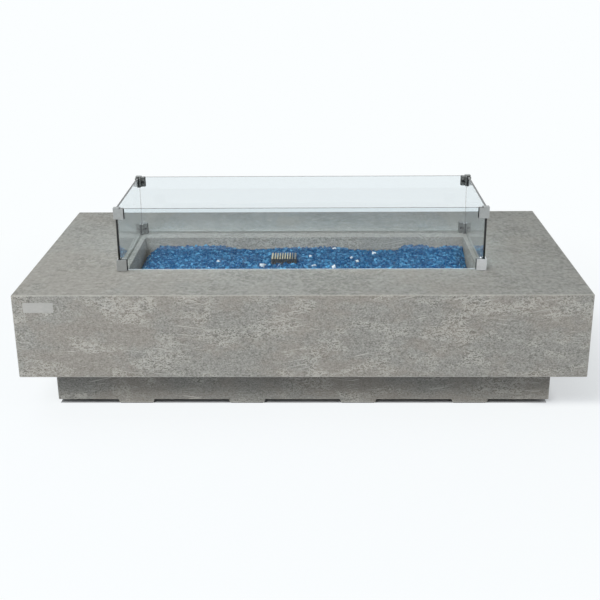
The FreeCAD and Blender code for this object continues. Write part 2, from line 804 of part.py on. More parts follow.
def make_pan_screws():
    """Four screws that hold the pan's flange down on the ledge."""
    level = f"({LEDGE_TOP} + sheet_thickness)"
    length = "sheet_thickness + pan_screw_length - screw_end_gap"
    screws = [
        screw(f"pan_screw_{i}", "pan_screw", (x, y, level), "z", -1, length)
        for i, (x, y) in enumerate(PAN_SCREWS)
    ]
    group("pan_screws", screws)


def make_burner_tubes():
    """Two closed tubes with a row of gas ports along the top of each and a side hole for the bar."""
    outer = "burner_diameter / 2"
    inner = "(burner_diameter / 2 - burner_wall)"
    end = "burner_length / 2"
    row = "(burner_length - 2 * port_margin)"
    for side, sign in (("front", -1), ("rear", 1)):
        body = new_body(f"burner_tube_{side}")
        profile = [
            (f"-{end}", "0"),
            (f"-{end}", outer),
            (end, outer),
            (end, "0"),
            (f"{end} - burner_wall", "0"),
            (f"{end} - burner_wall", inner),
            (f"-{end} + burner_wall", inner),
            (f"-{end} + burner_wall", "0"),
        ]
        revolve(body, f"tube_{side}", profile)
        hole = ("burner_place", "0", "burner_mouth")
        feature(body, "Pocket", f"tube_{side}_mouth", "XZ", "0", [hole], "burner_diameter", -sign)
        port = (f"-{row} / 2", "0", "port_diameter")
        first = feature(body, "Pocket", f"tube_{side}_port", "XY", "0", [port], "burner_diameter", 1)
        repeat(body, f"tube_{side}_ports", first, "H_Axis", "port_count", row)
        place(body, "0", f"well_shift + {sign} * burner_spread", BURNER_LEVEL)


def tube_outline(name, sign, extra):
    """A plain cylinder round one burner tube, larger than it by twice the extra."""
    start = (f"-burner_length / 2 - ({extra})", f"well_shift + {sign} * burner_spread", BURNER_LEVEL)
    return rod(name, start, "x", f"burner_length + 2 * ({extra})", f"burner_diameter + 2 * ({extra})")


def make_crossbar():
    """The bar between the two burner tubes, coped to them, with the riser's hole under it."""
    start = ("burner_place", "well_shift - burner_spread", BURNER_LEVEL)
    outer = rod("crossbar_outer", start, "y", "2 * burner_spread", "burner_diameter")
    inner = rod("crossbar_inner", start, "y", "2 * burner_spread", "burner_diameter - 2 * burner_wall")
    riser_hole = rod(
        "crossbar_hole",
        ("burner_place", "well_shift", f"{BURNER_LEVEL} - burner_diameter"),
        "z",
        "burner_diameter",
        "riser_diameter - 2 * riser_wall",
    )
    copes = [tube_outline(f"crossbar_cope_{sign + 1}", sign, "weld_gap") for sign in (-1, 1)]
    keep(cut("burner_crossbar", outer, [inner, riser_hole, *copes]), "burner_crossbar")


STANDOFFS = [
    (f"{a} * standoff_spread", f"well_shift + {b} * burner_spread") for a in (-1, 1) for b in (-1, 1)
]


def make_standoffs():
    """Four round feet that carry the burner tubes in their saddles."""
    items = []
    for i, (x, y) in enumerate(STANDOFFS):
        height = "burner_lift - burner_diameter / 4"
        foot = rod(f"standoff_{i}_foot", (x, y, PAN_FLOOR), "z", height, "standoff_diameter")
        saddle = tube_outline(f"standoff_{i}_saddle", (-1, 1)[i % 2], "weld_gap")
        items.append(cut(f"standoff_{i}", foot, [saddle]))
    group("burner_standoffs", items)


def make_riser():
    """The riser from the elbow up through the pan to the crossbar, and its two locknuts."""
    low = f"({ELBOW_LEVEL} + elbow_diameter / 4)"
    start = ("burner_place", "well_shift", low)
    outer = rod("riser_outer", start, "z", f"{BURNER_LEVEL} - {low}", "riser_diameter")
    inner = rod("riser_inner", start, "z", f"{BURNER_LEVEL} - {low}", "riser_diameter - 2 * riser_wall")
    bar = rod(
        "riser_cope",
        ("burner_place", "well_shift - burner_spread", BURNER_LEVEL),
        "y",
        "2 * burner_spread",
        "burner_diameter + 2 * weld_gap",
    )
    keep(cut("burner_riser", outer, [inner, bar]), "burner_riser")
    levels = (("above", PAN_FLOOR), ("below", f"({PAN_BOTTOM} - locknut_height)"))
    nuts = []
    for side, level in levels:
        spot = ("burner_place", "well_shift", level)
        nuts.append(nut(f"locknut_{side}", spot, "z", "locknut_height", "locknut_flats", "riser_diameter"))
    group("burner_locknuts", nuts)


MIXER_START = "(burner_place + elbow_reach)"
ORIFICE_START = f"({MIXER_START} + mixer_length)"
BURNER_LINE_START = f"({ORIFICE_START} + orifice_length)"


def make_mixer_train():
    """The elbow under the pan, the air mixer with its windows, and the gas orifice."""
    bend = ("burner_place", "well_shift", ELBOW_LEVEL)
    foot = ("burner_place", "well_shift", f"({ELBOW_LEVEL} - elbow_diameter / 2)")
    shoulder = ("burner_place", "well_shift", f"({ELBOW_LEVEL} + elbow_diameter / 4)")
    upright = rod("elbow_upright", foot, "z", "elbow_diameter / 2 + elbow_reach", "elbow_diameter")
    arm = rod("elbow_arm", bend, "x", "elbow_reach", "elbow_arm_diameter")
    socket = rod("elbow_socket", shoulder, "z", "elbow_reach", "riser_diameter + 2 * fit_clearance")
    passage = "riser_diameter - 2 * riser_wall"
    down = rod("elbow_down", bend, "z", "elbow_reach", passage)
    along = rod("elbow_along", bend, "x", "elbow_reach", "elbow_arm_bore")
    keep(cut("burner_elbow", fuse("elbow_casting", [upright, arm]), [socket, down, along]), "burner_elbow")
    start = (MIXER_START, "well_shift", ELBOW_LEVEL)
    barrel = ring("mixer_barrel", start, "x", "mixer_length", "mixer_diameter", passage)
    middle = f"{MIXER_START} + mixer_length / 2"
    beside = (middle, "well_shift - mixer_diameter", ELBOW_LEVEL)
    below = (middle, "well_shift", f"{ELBOW_LEVEL} - mixer_diameter")
    windows = [
        rod("mixer_window_across", beside, "y", "2 * mixer_diameter", "mixer_window"),
        rod("mixer_window_upright", below, "z", "2 * mixer_diameter", "mixer_window"),
    ]
    keep(cut("air_mixer", barrel, windows), "air_mixer")
    start = (ORIFICE_START, "well_shift", ELBOW_LEVEL)
    plug = hexagon("orifice_plug", start, "x", "orifice_length", "orifice_flats")
    jet = rod("orifice_jet", start, "x", "orifice_length", "orifice_bore")
    keep(cut("gas_orifice", plug, [jet]), "gas_orifice")


def make_pilot_hood():
    """The folded cage over the pilot: slots run up its front, over its roof and down its back."""
    body = new_body("pilot_hood")
    inside = rectangle(*HOOD_PLAN, "hood_sheet")
    depth = "hood_height - hood_sheet"
    feature(body, "Pad", "hood_block", "XY", HOOD_BOTTOM, [rectangle(*HOOD_PLAN)], "hood_height", 1)
    feature(body, "Pocket", "hood_inside", "XY", HOOD_BOTTOM, [inside], depth, 1)
    left, _, front, _ = HOOD_PLAN
    pitch = "(hood_length / (slot_count + 1))"
    middle = f"{left} + {pitch}"
    low = f"{HOOD_TOP} - slot_height"
    high = f"{HOOD_TOP} + overcut"
    slot = rectangle(f"{middle} - slot_width / 2", f"{middle} + slot_width / 2", low, high)
    depth = "hood_depth + 2 * overcut"
    first = feature(body, "Pocket", "hood_slot", "XZ", f"{front} - overcut", [slot], depth, 1)
    repeat(body, "hood_slots", first, "H_Axis", "slot_count", f"(slot_count - 1) * {pitch}")


def make_pilot():
    """The bracket on the pan's floor with the pilot burner, thermocouple tip and spark electrode."""
    left, right, front, rear = HOOD_PLAN
    plate_low = f"({HOOD_BOTTOM} - bracket_sheet)"
    plate = box("bracket_plate", (left, front, plate_low), (right, rear, HOOD_BOTTOM))
    legs = [
        box("bracket_leg_left", (left, front, PAN_FLOOR), (f"{left} + bracket_sheet", rear, plate_low)),
        box("bracket_leg_right", (f"{right} - bracket_sheet", front, PAN_FLOOR), (right, rear, plate_low)),
    ]
    holes = []
    for name, x in (("pilot", PILOT_X), ("thermocouple", THERMOCOUPLE_X), ("electrode", ELECTRODE_X)):
        size = f"{name}_diameter + 2 * fit_clearance"
        holes.append(rod(f"{name}_hole", (x, "hood_back", plate_low), "z", "bracket_sheet", size))
    keep(cut("pilot_bracket", fuse("bracket_folded", [plate, *legs]), holes), "pilot_bracket")
    start = (PILOT_X, "hood_back", PILOT_LOW)
    barrel = rod("pilot_barrel", start, "z", "pilot_length", "pilot_diameter")
    before = (PILOT_X, "hood_back - pilot_diameter", f"{PILOT_LOW} + pilot_length - pilot_diameter")
    jets = rod("pilot_jets", before, "y", "2 * pilot_diameter", "pilot_jet")
    waist = (PILOT_X, "hood_back", f"{PILOT_LOW} + pilot_length / 2")
    throat = rod("pilot_throat", waist, "z", "pilot_length", "pilot_throat_bore")
    keep(cut("pilot_burner", barrel, [jets, throat]), "pilot_burner")
    start = (ELECTRODE_X, "hood_back", PILOT_LOW)
    ceramic = rod("electrode_ceramic", start, "z", "electrode_length", "electrode_diameter")
    start = (ELECTRODE_X, "hood_back", f"{PILOT_LOW} + electrode_length")
    wire = rod("electrode_wire", start, "z", "electrode_tip_length", "electrode_tip")
    keep(fuse("spark_electrode", [ceramic, wire]), "spark_electrode")


# The heap's stations along the table, as shares of its level half, and how far the glass stands above
# the mean level at each of them along the front wall, the middle and the rear wall
BED_STATIONS = (-1, -0.9, -0.77, -0.57, -0.46, -0.27, -0.13, 0.24, 0.36, 0.65, 0.70, 0.81, 0.91, 1)
BED_RISES = (
    (0, 2, -1, 1, 2, -1, 0, 2, -1, 1, -1, 1, 0, 1),
    (1, -1, 2, 1, -2, 0, 1, -1, -3, 0, 1, -1, 1, 0),
    (5, 4, 5, 5.5, -7, -7.5, -1, -2, -11, -11.5, 4.5, 5, -5, 3),
)


def bed_points():
    """The rows of points that the heap's top runs through, from the left wall to the right wall."""
    end = value("well_length / 2 - bed_clearance")
    level = end - value("bed_slope_length")
    mean = value(f"{TABLE_TOP} - bed_drop")
    foot = value(f"{TABLE_TOP} - bed_end_drop")
    sides = [value(f"{WELL_FRONT} + bed_clearance"), value("well_shift + bed_middle")]
    sides.append(value(f"{WELL_REAR} - bed_clearance"))
    corner = mean + BED_RISES[2][-1]
    rows = []
    for y, rises, right in zip(sides, BED_RISES, (foot, foot, corner)):
        row = [(-end, foot)]
        row += [(station * level, mean + rise) for station, rise in zip(BED_STATIONS, rises)]
        row.append((end, right))
        rows.append([FreeCAD.Vector(x, y, z) for x, z in row])
    return rows


def polygon(points):
    """A flat face through the points."""
    return Part.Face(Part.makePolygon([*points, points[0]]))


def heap_shape(shelf):
    """A closed heap: triangles over the rows of points, upright walls and a flat bottom."""
    rows = bed_points()
    faces = []
    for near, far in zip(rows, rows[1:]):
        for i in range(len(near) - 1):
            faces.append(polygon([near[i], near[i + 1], far[i]]))
            faces.append(polygon([near[i + 1], far[i + 1], far[i]]))
    rims = [rows[0], rows[-1], [row[0] for row in rows], [row[-1] for row in rows]]
    for rim in rims:
        feet = [FreeCAD.Vector(point.x, point.y, shelf) for point in (rim[-1], rim[0])]
        faces.append(polygon([*rim, *feet]))
    corners = (rows[0][0], rows[0][-1], rows[-1][-1], rows[-1][0])
    faces.append(polygon([FreeCAD.Vector(point.x, point.y, shelf) for point in corners]))
    return Part.Solid(Part.Shell(faces))


def make_fire_glass():
    """The bed of glass as one solid: low humps in the middle, sloping down at both ends."""
    reach = "(ledge_width + tray_clearance + sheet_thickness + bed_clearance)"
    left, right, front, rear = WELL_PLAN
    shelf = f"({LEDGE_TOP} + sheet_thickness + bed_clearance)"
    low = (f"{left} + {reach}", f"{front} + {reach}", f"{PAN_FLOOR} + bed_clearance")
    base = box("bed_base", low, (f"{right} - {reach}", f"{rear} - {reach}", shelf))
    heap = doc.addObject("Part::Feature", "bed_heap")
    heap.Shape = heap_shape(value(shelf))
    tools = [tube_outline(f"bed_tube_{sign + 1}", sign, "bed_clearance") for sign in (-1, 1)]
    tools.append(
        rod(
            "bed_crossbar",
            ("burner_place", "well_shift - burner_spread", BURNER_LEVEL),
            "y",
            "2 * burner_spread",
            "burner_diameter + bed_clearance",
        )
    )
    riser_size = "locknut_flats / cos(30) + 2 * bed_clearance"
    spot = ("burner_place", "well_shift", PAN_FLOOR)
    tools.append(rod("bed_riser", spot, "z", "burner_lift", riser_size))
    foot_size = "standoff_diameter + 2 * bed_clearance"
    tools += [
        rod(f"bed_standoff_{i}", (x, y, PAN_FLOOR), "z", "burner_lift", foot_size)
        for i, (x, y) in enumerate(STANDOFFS)
    ]
    left, right, front, rear = HOOD_PLAN
    low = (f"{left} - bed_clearance", f"{front} - bed_clearance", PAN_FLOOR)
    tools.append(box("bed_pilot", low, (f"{right} + bed_clearance", f"{rear} + bed_clearance", HOOD_TOP)))
    head = "pan_screw_head + 2 * bed_clearance"
    height = "sheet_thickness + pan_screw_head_height + bed_clearance"
    tools += [
        rod(f"bed_screw_{i}", (x, y, LEDGE_TOP), "z", height, head) for i, (x, y) in enumerate(PAN_SCREWS)
    ]
    keep(cut("fire_glass", fuse("bed_solid", [base, heap]), tools), "fire_glass")


def make_control_box():
    """The steel niche in the right end: a flanged box that opens outwards."""
    body = new_body("control_box")
    flange = rectangle(*BOX_PLAN, "-box_flange")
    outside = rectangle(*BOX_PLAN)
    inside = rectangle(*BOX_PLAN, "box_sheet")
    feature(body, "Pad", "box_flange_plate", "YZ", BOX_MOUTH, [flange], "box_sheet", -1)
    feature(body, "Pad", "box_walls", "YZ", BOX_MOUTH, [outside], f"{BOX_MOUTH} - {BOX_BACK}", -1)
    feature(body, "Pocket", "box_inside", "YZ", BOX_MOUTH, [inside], f"{BOX_MOUTH} - {BOX_PANEL}", -1)
    holes = [
        ("valve_side", BOX_LEVEL, "nose_diameter + hole_clearance"),
        ("igniter_side", BOX_LEVEL, "igniter_diameter + hole_clearance"),
    ]
    feature(body, "Pocket", "box_panel_holes", "YZ", BOX_PANEL, holes, "box_sheet", -1)
    holes = [(y, z, "box_screw_diameter + thread_clearance") for y, z in BOX_SCREWS]
    feature(body, "Pocket", "box_flange_holes", "YZ", BOX_MOUTH, holes, "box_sheet", -1)


def make_box_screws():
    """Four screws through the niche's flange into the apron."""
    length = "box_sheet + box_screw_length - screw_end_gap"
    screws = [
        screw(f"box_screw_{i}", "box_screw", (BOX_MOUTH, y, z), "x", -1, length)
        for i, (y, z) in enumerate(BOX_SCREWS)
    ]
    group("box_screws", screws)


VALVE_FACE = f"({BOX_BACK} - valve_neck_length)"
VALVE_BACK = f"({VALVE_FACE} - valve_length)"
NOSE_END = f"({BOX_PANEL} + nose_length)"
SEAT_BACK = f"({NOSE_END} + spring_gap)"
KNOB_BACK = f"({SEAT_BACK} + seat_thickness)"
PORT_LEVEL = f"({BOX_LEVEL} - port_drop)"
SMALL_PORT_LEVEL = f"({BOX_LEVEL} + small_port_rise)"
OUTLET_SIDE = "(valve_side - port_spread)"
INLET_SIDE = "(valve_side + port_spread)"
PORT_END = f"({VALVE_BACK} - port_boss_length)"
SMALL_PORT_END = f"({VALVE_BACK} - small_port_length)"
PILOT_PORT_SIDE = "(valve_side - small_port_spread)"
LEAD_PORT_SIDE = "(valve_side + small_port_spread)"


def make_valve():
    """The safety valve behind the niche: block, neck, threaded nose, two gas ports, two small ones."""
    low = (VALVE_BACK, "valve_side - valve_width / 2", f"{BOX_LEVEL} - valve_height / 2")
    high = (VALVE_FACE, "valve_side + valve_width / 2", f"{BOX_LEVEL} + valve_height / 2")
    face = (VALVE_FACE, "valve_side", BOX_LEVEL)
    pieces = [
        box("valve_block", low, high),
        rod("valve_neck_boss", face, "x", "valve_neck_length", "valve_neck"),
        rod("valve_nose", face, "x", f"{NOSE_END} - {VALVE_FACE}", "nose_diameter"),
    ]
    for name, side in (("outlet", OUTLET_SIDE), ("inlet", INLET_SIDE)):
        start = (PORT_END, side, PORT_LEVEL)
        pieces.append(rod(f"valve_{name}", start, "x", "port_boss_length", "port_boss"))
    for name, side in (("pilot", PILOT_PORT_SIDE), ("lead", LEAD_PORT_SIDE)):
        start = (SMALL_PORT_END, side, SMALL_PORT_LEVEL)
        pieces.append(rod(f"valve_{name}_port", start, "x", "small_port_length", "small_port_boss"))
    stem_low = f"({VALVE_FACE} - stem_depth - knob_travel - hole_clearance)"
    depth = f"{NOSE_END} - {stem_low}"
    hole = "stem_diameter + 2 * fit_clearance"
    bore = rod("valve_bore", (stem_low, "valve_side", BOX_LEVEL), "x", depth, hole)
    keep(cut("valve_body", fuse("valve_casting", pieces), [bore]), "valve_body")
    start = (BOX_PANEL, "valve_side", BOX_LEVEL)
    keep(nut("valve_nut", start, "x", "valve_nut_height", "valve_nut_flats", "nose_diameter"), "valve_nut")


def coil(name, start, length, diameter, turns):
    """A round-wire compression spring along X: a wire circle carried along a helix."""
    wire = value("spring_wire")
    radius = (value(diameter) - wire) / 2
    span = value(length) - wire
    circle = Part.Circle(FreeCAD.Vector(radius, 0, 0), AXES["y"], wire / 2)
    path = Part.Wire(Part.makeLongHelix(span / turns, span, radius).Edges)
    item = doc.addObject("Part::Feature", name)
    item.Shape = path.makePipeShell([Part.Wire([circle.toShape()])], True, True)
    spot = FreeCAD.Vector(*(value(text) for text in start)) + AXES["x"] * wire / 2
    item.Placement = FreeCAD.Placement(spot, FreeCAD.Rotation(AXES["z"], AXES["x"]))
    return keep(item, name)


def make_knob():
    """The stem, its return spring and seat, the fluted knob, and the marked bezel round it."""
    coil("valve_spring", (NOSE_END, "valve_side", BOX_LEVEL), "spring_gap", "spring_coil", 3)
    spot = (SEAT_BACK, "valve_side", BOX_LEVEL)
    hole = "stem_diameter + 2 * fit_clearance"
    keep(ring("spring_seat", spot, "x", "seat_thickness", "seat_diameter", hole), "spring_seat")
    stem_start = f"({VALVE_FACE} - stem_depth)"
    stem_end = f"({KNOB_BACK} + knob_grip_depth)"
    spot = (stem_start, "valve_side", BOX_LEVEL)
    keep(rod("valve_stem", spot, "x", f"{stem_end} - {stem_start}", "stem_diameter"), "valve_stem")

    body = new_body("control_knob")
    rim = "knob_diameter / 2"
    hole = "(stem_diameter / 2 + fit_clearance)"
    profile = [
        ("0", hole),
        ("0", rim),
        ("knob_depth - knob_wall", f"{rim} - knob_taper"),
        ("knob_depth", f"{rim} - knob_wall"),
        ("knob_depth", "0"),
        ("knob_grip_depth + knob_clearance", "0"),
        ("knob_grip_depth + knob_clearance", hole),
    ]
    revolve(body, "knob_turned", profile)
    flute = (f"{rim} + flute_radius / 2", "0", "2 * flute_radius")
    depth = "knob_depth - knob_wall"
    first = feature(body, "Pocket", "knob_flute", "YZ", "knob_depth + overcut", [flute], depth, -1)
    flutes = body.newObject("PartDesign::PolarPattern", "knob_flutes")
    flutes.Originals = [first]
    flutes.Axis = (first.Profile[0], ["N_Axis"])
    flutes.Angle = 360
    bind(flutes, "Occurrences", "flute_count")
    body.Tip = flutes
    far = f"{rim} - knob_wall"
    pointer = rectangle("-pointer_width / 2", "pointer_width / 2", f"{far} - pointer_length", far)
    feature(body, "Pocket", "knob_pointer", "YZ", "knob_depth", [pointer], "pointer_depth", -1)
    place(body, KNOB_BACK, "valve_side", BOX_LEVEL)

    spot = (BOX_PANEL, "valve_side", BOX_LEVEL)
    disc = rod("bezel_disc", spot, "x", "bezel_thickness", "bezel_diameter")
    hole = "valve_nut_flats / cos(30) + 2 * knob_clearance"
    opening = rod("bezel_opening", spot, "x", "bezel_thickness", hole)
    marks = []
    for number, angle in enumerate((0, 45, 90, 135, 180)):
        reach = "(bezel_diameter / 2 - bezel_mark_inset)"
        place_y = f"valve_side - {reach} * sin({angle})"
        place_z = f"{BOX_LEVEL} + {reach} * cos({angle})"
        start = (f"{BOX_PANEL} + bezel_thickness", place_y, place_z)
        marks.append(rod(f"bezel_mark_{number}", start, "x", "bezel_mark_height", "bezel_mark"))
    keep(cut("knob_bezel", fuse("bezel_face", [disc, *marks]), [opening]), "knob_bezel")


IGNITER_FRONT = f"({BOX_PANEL} + igniter_collar_height)"
CAP_BACK = f"({IGNITER_FRONT} + cap_gap)"
CAP_FRONT = f"({CAP_BACK} + cap_depth)"
BUTTON_BACK = f"({CAP_FRONT} - cap_wall - button_flange_height - cap_gap)"
BATTERY_BACK = f"({BOX_BACK} - igniter_length + igniter_floor)"


def make_igniter():
    """The battery spark igniter: housing, nut, battery, screw-off cap, and its sprung button."""
    side = ("igniter_side", BOX_LEVEL)
    back = f"({BOX_BACK} - igniter_length)"
    barrel = rod("igniter_barrel", (back, *side), "x", f"{IGNITER_FRONT} - {back}", "igniter_diameter")
    collar = rod("igniter_collar_disc", (BOX_PANEL, *side), "x", "igniter_collar_height", "igniter_collar")
    depth = f"{IGNITER_FRONT} - {BATTERY_BACK}"
    bore = rod("igniter_bore_hole", (BATTERY_BACK, *side), "x", depth, "igniter_bore")
    keep(cut("igniter_housing", fuse("igniter_moulding", [barrel, collar]), [bore]), "igniter_housing")
    spot = (f"{BOX_BACK} - igniter_nut_height", *side)
    ring_nut = nut("igniter_nut", spot, "x", "igniter_nut_height", "igniter_nut_flats", "igniter_diameter")
    keep(ring_nut, "igniter_nut")
    can = "battery_length - battery_tip"
    cell = rod("battery_cell", (BATTERY_BACK, *side), "x", can, "battery_diameter")
    spot = (f"{BATTERY_BACK} + {can}", *side)
    tip = rod("battery_pole", spot, "x", "battery_tip", "battery_tip_diameter")
    keep(fuse("igniter_battery", [cell, tip]), "igniter_battery")
    cap = rod("cap_turned", (CAP_BACK, *side), "x", "cap_depth", "cap_diameter")
    bore = "cap_diameter - 2 * cap_wall"
    cavity = rod("cap_cavity", (CAP_BACK, *side), "x", "cap_depth - cap_wall", bore)
    opening = rod("cap_opening", (CAP_BACK, *side), "x", "cap_depth", "button_bore")
    keep(cut("igniter_cap", cap, [cavity, opening]), "igniter_cap")
    flange = rod("button_flange_disc", (BUTTON_BACK, *side), "x", "button_flange_height", "button_flange")
    reach = f"{CAP_FRONT} + button_stand - {BUTTON_BACK}"
    shaft = rod("button_shaft", (BUTTON_BACK, *side), "x", reach, "button_diameter")
    keep(fuse("ignition_button", [flange, shaft]), "ignition_button")
    start = f"({BATTERY_BACK} + battery_length)"
    coil("button_spring", (start, *side), f"{BUTTON_BACK} - {start}", "button_spring_coil", 5)


INLET_TAIL = f"({PLINTH_X} - plinth_wall - inlet_tail)"


def make_gas_inlet():
    """The flare fitting through the plinth's right wall and its locknut."""
    side = ("inlet_side", "inlet_level")
    end = f"({PLINTH_X} + inlet_flange + inlet_reach)"
    thread = rod("inlet_thread_rod", (INLET_TAIL, *side), "x", f"{end} - {INLET_TAIL}", "inlet_thread")
    flange = hexagon("inlet_flange_block", (PLINTH_X, *side), "x", "inlet_flange", "inlet_flats")
    bore = rod("inlet_bore_hole", (INLET_TAIL, *side), "x", f"{end} - {INLET_TAIL}", "inlet_bore")
    keep(cut("gas_inlet", fuse("inlet_turned", [thread, flange]), [bore]), "gas_inlet")
    spot = (f"{PLINTH_X} - plinth_wall - inlet_nut_height", *side)
    locknut = nut("inlet_locknut", spot, "x", "inlet_nut_height", "inlet_flats", "inlet_thread")
    keep(locknut, "inlet_locknut")


def route(points):
    """Straight runs joined by tangent arcs, each as large as its two runs allow, with the radii."""
    edges = []
    radii = []
    start = points[0]
    for before, corner, after in zip(points, points[1:], points[2:]):
        back = (before - corner).normalize()
        ahead = (after - corner).normalize()
        shorter = min((before - corner).Length, (after - corner).Length)
        turn = math.pi - back.getAngle(ahead)
        setback = 0.45 * shorter
        radius = setback / math.tan(turn / 2)
        radii.append(radius)
        enter, leave = corner + back * setback, corner + ahead * setback
        centre = corner + (back + ahead).normalize() * math.hypot(setback, radius)
        middle = centre + (corner - centre).normalize() * radius
        edges.append(Part.LineSegment(start, enter).toShape())
        edges.append(Part.Arc(enter, middle, leave).toShape())
        start = leave
    edges.append(Part.LineSegment(start, points[-1]).toShape())
    return Part.Wire(edges), radii


def tube_along(name, size, places):
    """A gas line or lead held at both ends, as a round tube along its route."""
    diameter = value(size)
    points = [FreeCAD.Vector(*(value(text) for text in spot)) for spot in places]
    path, radii = route(points)
    heading = (points[1] - points[0]).normalize()
    section = Part.Wire([Part.Circle(points[0], heading, diameter / 2).toShape()])
    item = doc.addObject("Part::Feature", name)
    item.Shape = path.makePipeShell([section], True, False)
    expected = math.pi * diameter**2 / 4 * path.Length
    print(name, "length", round(path.Length), "radii", [round(radius) for radius in radii])
    if abs(item.Shape.Volume / expected - 1) > 0.01:
        raise ValueError(f"{name} has the volume {item.Shape.Volume}, not {expected}")
    return item


def make_lines():
    """The supply, burner and pilot lines, the thermocouple lead and the igniter wire."""
    below_pan = f"({PAN_BOTTOM} - 12)"
    supply = tube_along(
        "supply_line",
        "hose_diameter",
        [
            (INLET_TAIL, "inlet_side", "inlet_level"),
            (f"{CROSS_LINE} - 60", "inlet_side", "inlet_level"),
            (f"{CROSS_LINE} - 75", "inlet_side - 25", f"{RAIL_TOP} + 20"),
            (f"{PORT_END} - 70", INLET_SIDE, PORT_LEVEL),
            (PORT_END, INLET_SIDE, PORT_LEVEL),
        ],
    )
    keep(supply, "supply_line")
    burner = tube_along(
        "burner_line",
        "hose_diameter",
        [
            (BURNER_LINE_START, "well_shift", ELBOW_LEVEL),
            (f"{BURNER_LINE_START} + 150", "well_shift", ELBOW_LEVEL),
            (f"{PORT_END} - 150", OUTLET_SIDE, PORT_LEVEL),
            (PORT_END, OUTLET_SIDE, PORT_LEVEL),
        ],
    )
    keep(burner, "burner_line")
    pilot = tube_along(
        "pilot_line",
        "pilot_tube_diameter",
        [
            (SMALL_PORT_END, PILOT_PORT_SIDE, SMALL_PORT_LEVEL),
            (f"{SMALL_PORT_END} - 60", PILOT_PORT_SIDE, SMALL_PORT_LEVEL),
            ("well_length / 2 - 30", "well_shift - 47", below_pan),
            ("hood_side + 160", "well_shift - 38", below_pan),
            ("hood_side + 60", "well_shift - 22", f"{below_pan} - 24"),
            (PILOT_X, "hood_back", f"{below_pan} - 18"),
            (PILOT_X, "hood_back", PILOT_LOW),
        ],
    )
    keep(pilot, "pilot_line")
    lead = tube_along(
        "thermocouple_lead",
        "lead_diameter",
        [
            (SMALL_PORT_END, LEAD_PORT_SIDE, SMALL_PORT_LEVEL),
            (f"{SMALL_PORT_END} - 70", LEAD_PORT_SIDE, SMALL_PORT_LEVEL),
            ("well_length / 2 - 40", "hood_back + 16", f"{below_pan} + 2"),
            ("hood_side + 150", "hood_back + 24", f"{below_pan} + 2"),
            (f"{THERMOCOUPLE_X} + 40", "hood_back + 10", f"{below_pan} - 14"),
            (THERMOCOUPLE_X, "hood_back", f"{below_pan} - 10"),
            (THERMOCOUPLE_X, "hood_back", PILOT_LOW),
        ],
    )
    start = (THERMOCOUPLE_X, "hood_back", PILOT_LOW)
    tip = rod("thermocouple_tip", start, "z", "thermocouple_length", "thermocouple_diameter")
    keep(fuse("thermocouple", [tip, lead]), "thermocouple")
    wire = tube_along(
        "igniter_wire",
        "lead_diameter",
        [
            (f"{BOX_BACK} - igniter_length", "igniter_side", BOX_LEVEL),
            (f"{BOX_BACK} - igniter_length - 50", "igniter_side", BOX_LEVEL),
            ("well_length / 2 - 50", "igniter_side - 10", f"{below_pan} + 2"),
            (f"{ELECTRODE_X} + 130", "igniter_side - 20", f"{below_pan} + 2"),
            (f"{ELECTRODE_X} + 30", "hood_back + 30", f"{below_pan} - 10"),
            (ELECTRODE_X, "hood_back", f"{below_pan} - 8"),
            (ELECTRODE_X, "hood_back", PILOT_LOW),
        ],
    )
    keep(wire, "igniter_wire")
    spots = (
        (f"{PORT_END} - flare_nut_length", OUTLET_SIDE, PORT_LEVEL),
        (f"{PORT_END} - flare_nut_length", INLET_SIDE, PORT_LEVEL),
        (BURNER_LINE_START, "well_shift", ELBOW_LEVEL),
        (f"{INLET_TAIL} - flare_nut_length", "inlet_side", "inlet_level"),
    )
    nuts = [
        nut(f"flare_nut_{i}", spot, "x", "flare_nut_length", "flare_nut_flats", "hose_diameter")
        for i, spot in enumerate(spots)
    ]
    group("flare_nuts", nuts)


GUARD_X = "(guard_length / 2)"
GUARD_Y = "(guard_depth / 2)"


def guard_span(x, y, sign_x, sign_y):
    """Low and high ends of a plan rectangle given outwards from the guard's middle, mirrored."""
    x_ends = [f"guard_side_shift + {sign_x} * ({text})" for text in x]
    y_ends = [f"guard_shift + {sign_y} * ({text})" for text in y]
    if sign_x < 0:
        x_ends.reverse()
    if sign_y < 0:
        y_ends.reverse()
    return x_ends, y_ends


def guard_box(name, x, y, z, sign_x, sign_y):
    """A box of the guard: x and y are given outwards from its middle, z as levels."""
    x_ends, y_ends = guard_span(x, y, sign_x, sign_y)
    return box(name, (x_ends[0], y_ends[0], z[0]), (x_ends[1], y_ends[1], z[1]))


SIDES = (("left", -1), ("right", 1))
ENDS = (("front", -1), ("rear", 1))
FACE_X = f"({GUARD_X} - glass_thickness)"
FACE_Y = f"({GUARD_Y} - glass_thickness)"


def make_glass():
    """Two side panes of the full depth, and a front and a rear pane between them."""
    levels = (GLASS_BOTTOM, GLASS_TOP)
    for side, sign in SIDES:
        name = f"guard_glass_{side}"
        keep(guard_box(name, (FACE_X, GUARD_X), (f"-{GUARD_Y}", GUARD_Y), levels, sign, 1), name)
    reach = f"({FACE_X} - pane_gap)"
    for end, sign in ENDS:
        name = f"guard_glass_{end}"
        keep(guard_box(name, (f"-{reach}", reach), (FACE_Y, GUARD_Y), levels, 1, sign), name)


CLIP_EDGE = "(clip_plate + liner)"
CLIP_LEG = f"(clip_size - {CLIP_EDGE})"
CLIP_BOTTOM = f"({TABLE_TOP} + foot_height)"
TOP_CLIP_LOW = f"({GLASS_TOP} + clip_cap - clip_height)"
BOTTOM_CLIP_HIGH = f"({CLIP_BOTTOM} + clip_height)"
CLIP_ROWS = {
    "top": (TOP_CLIP_LOW, GLASS_TOP, TOP_CLIP_LOW),
    "bottom": (CLIP_BOTTOM, BOTTOM_CLIP_HIGH, f"{GLASS_BOTTOM} - liner"),
}


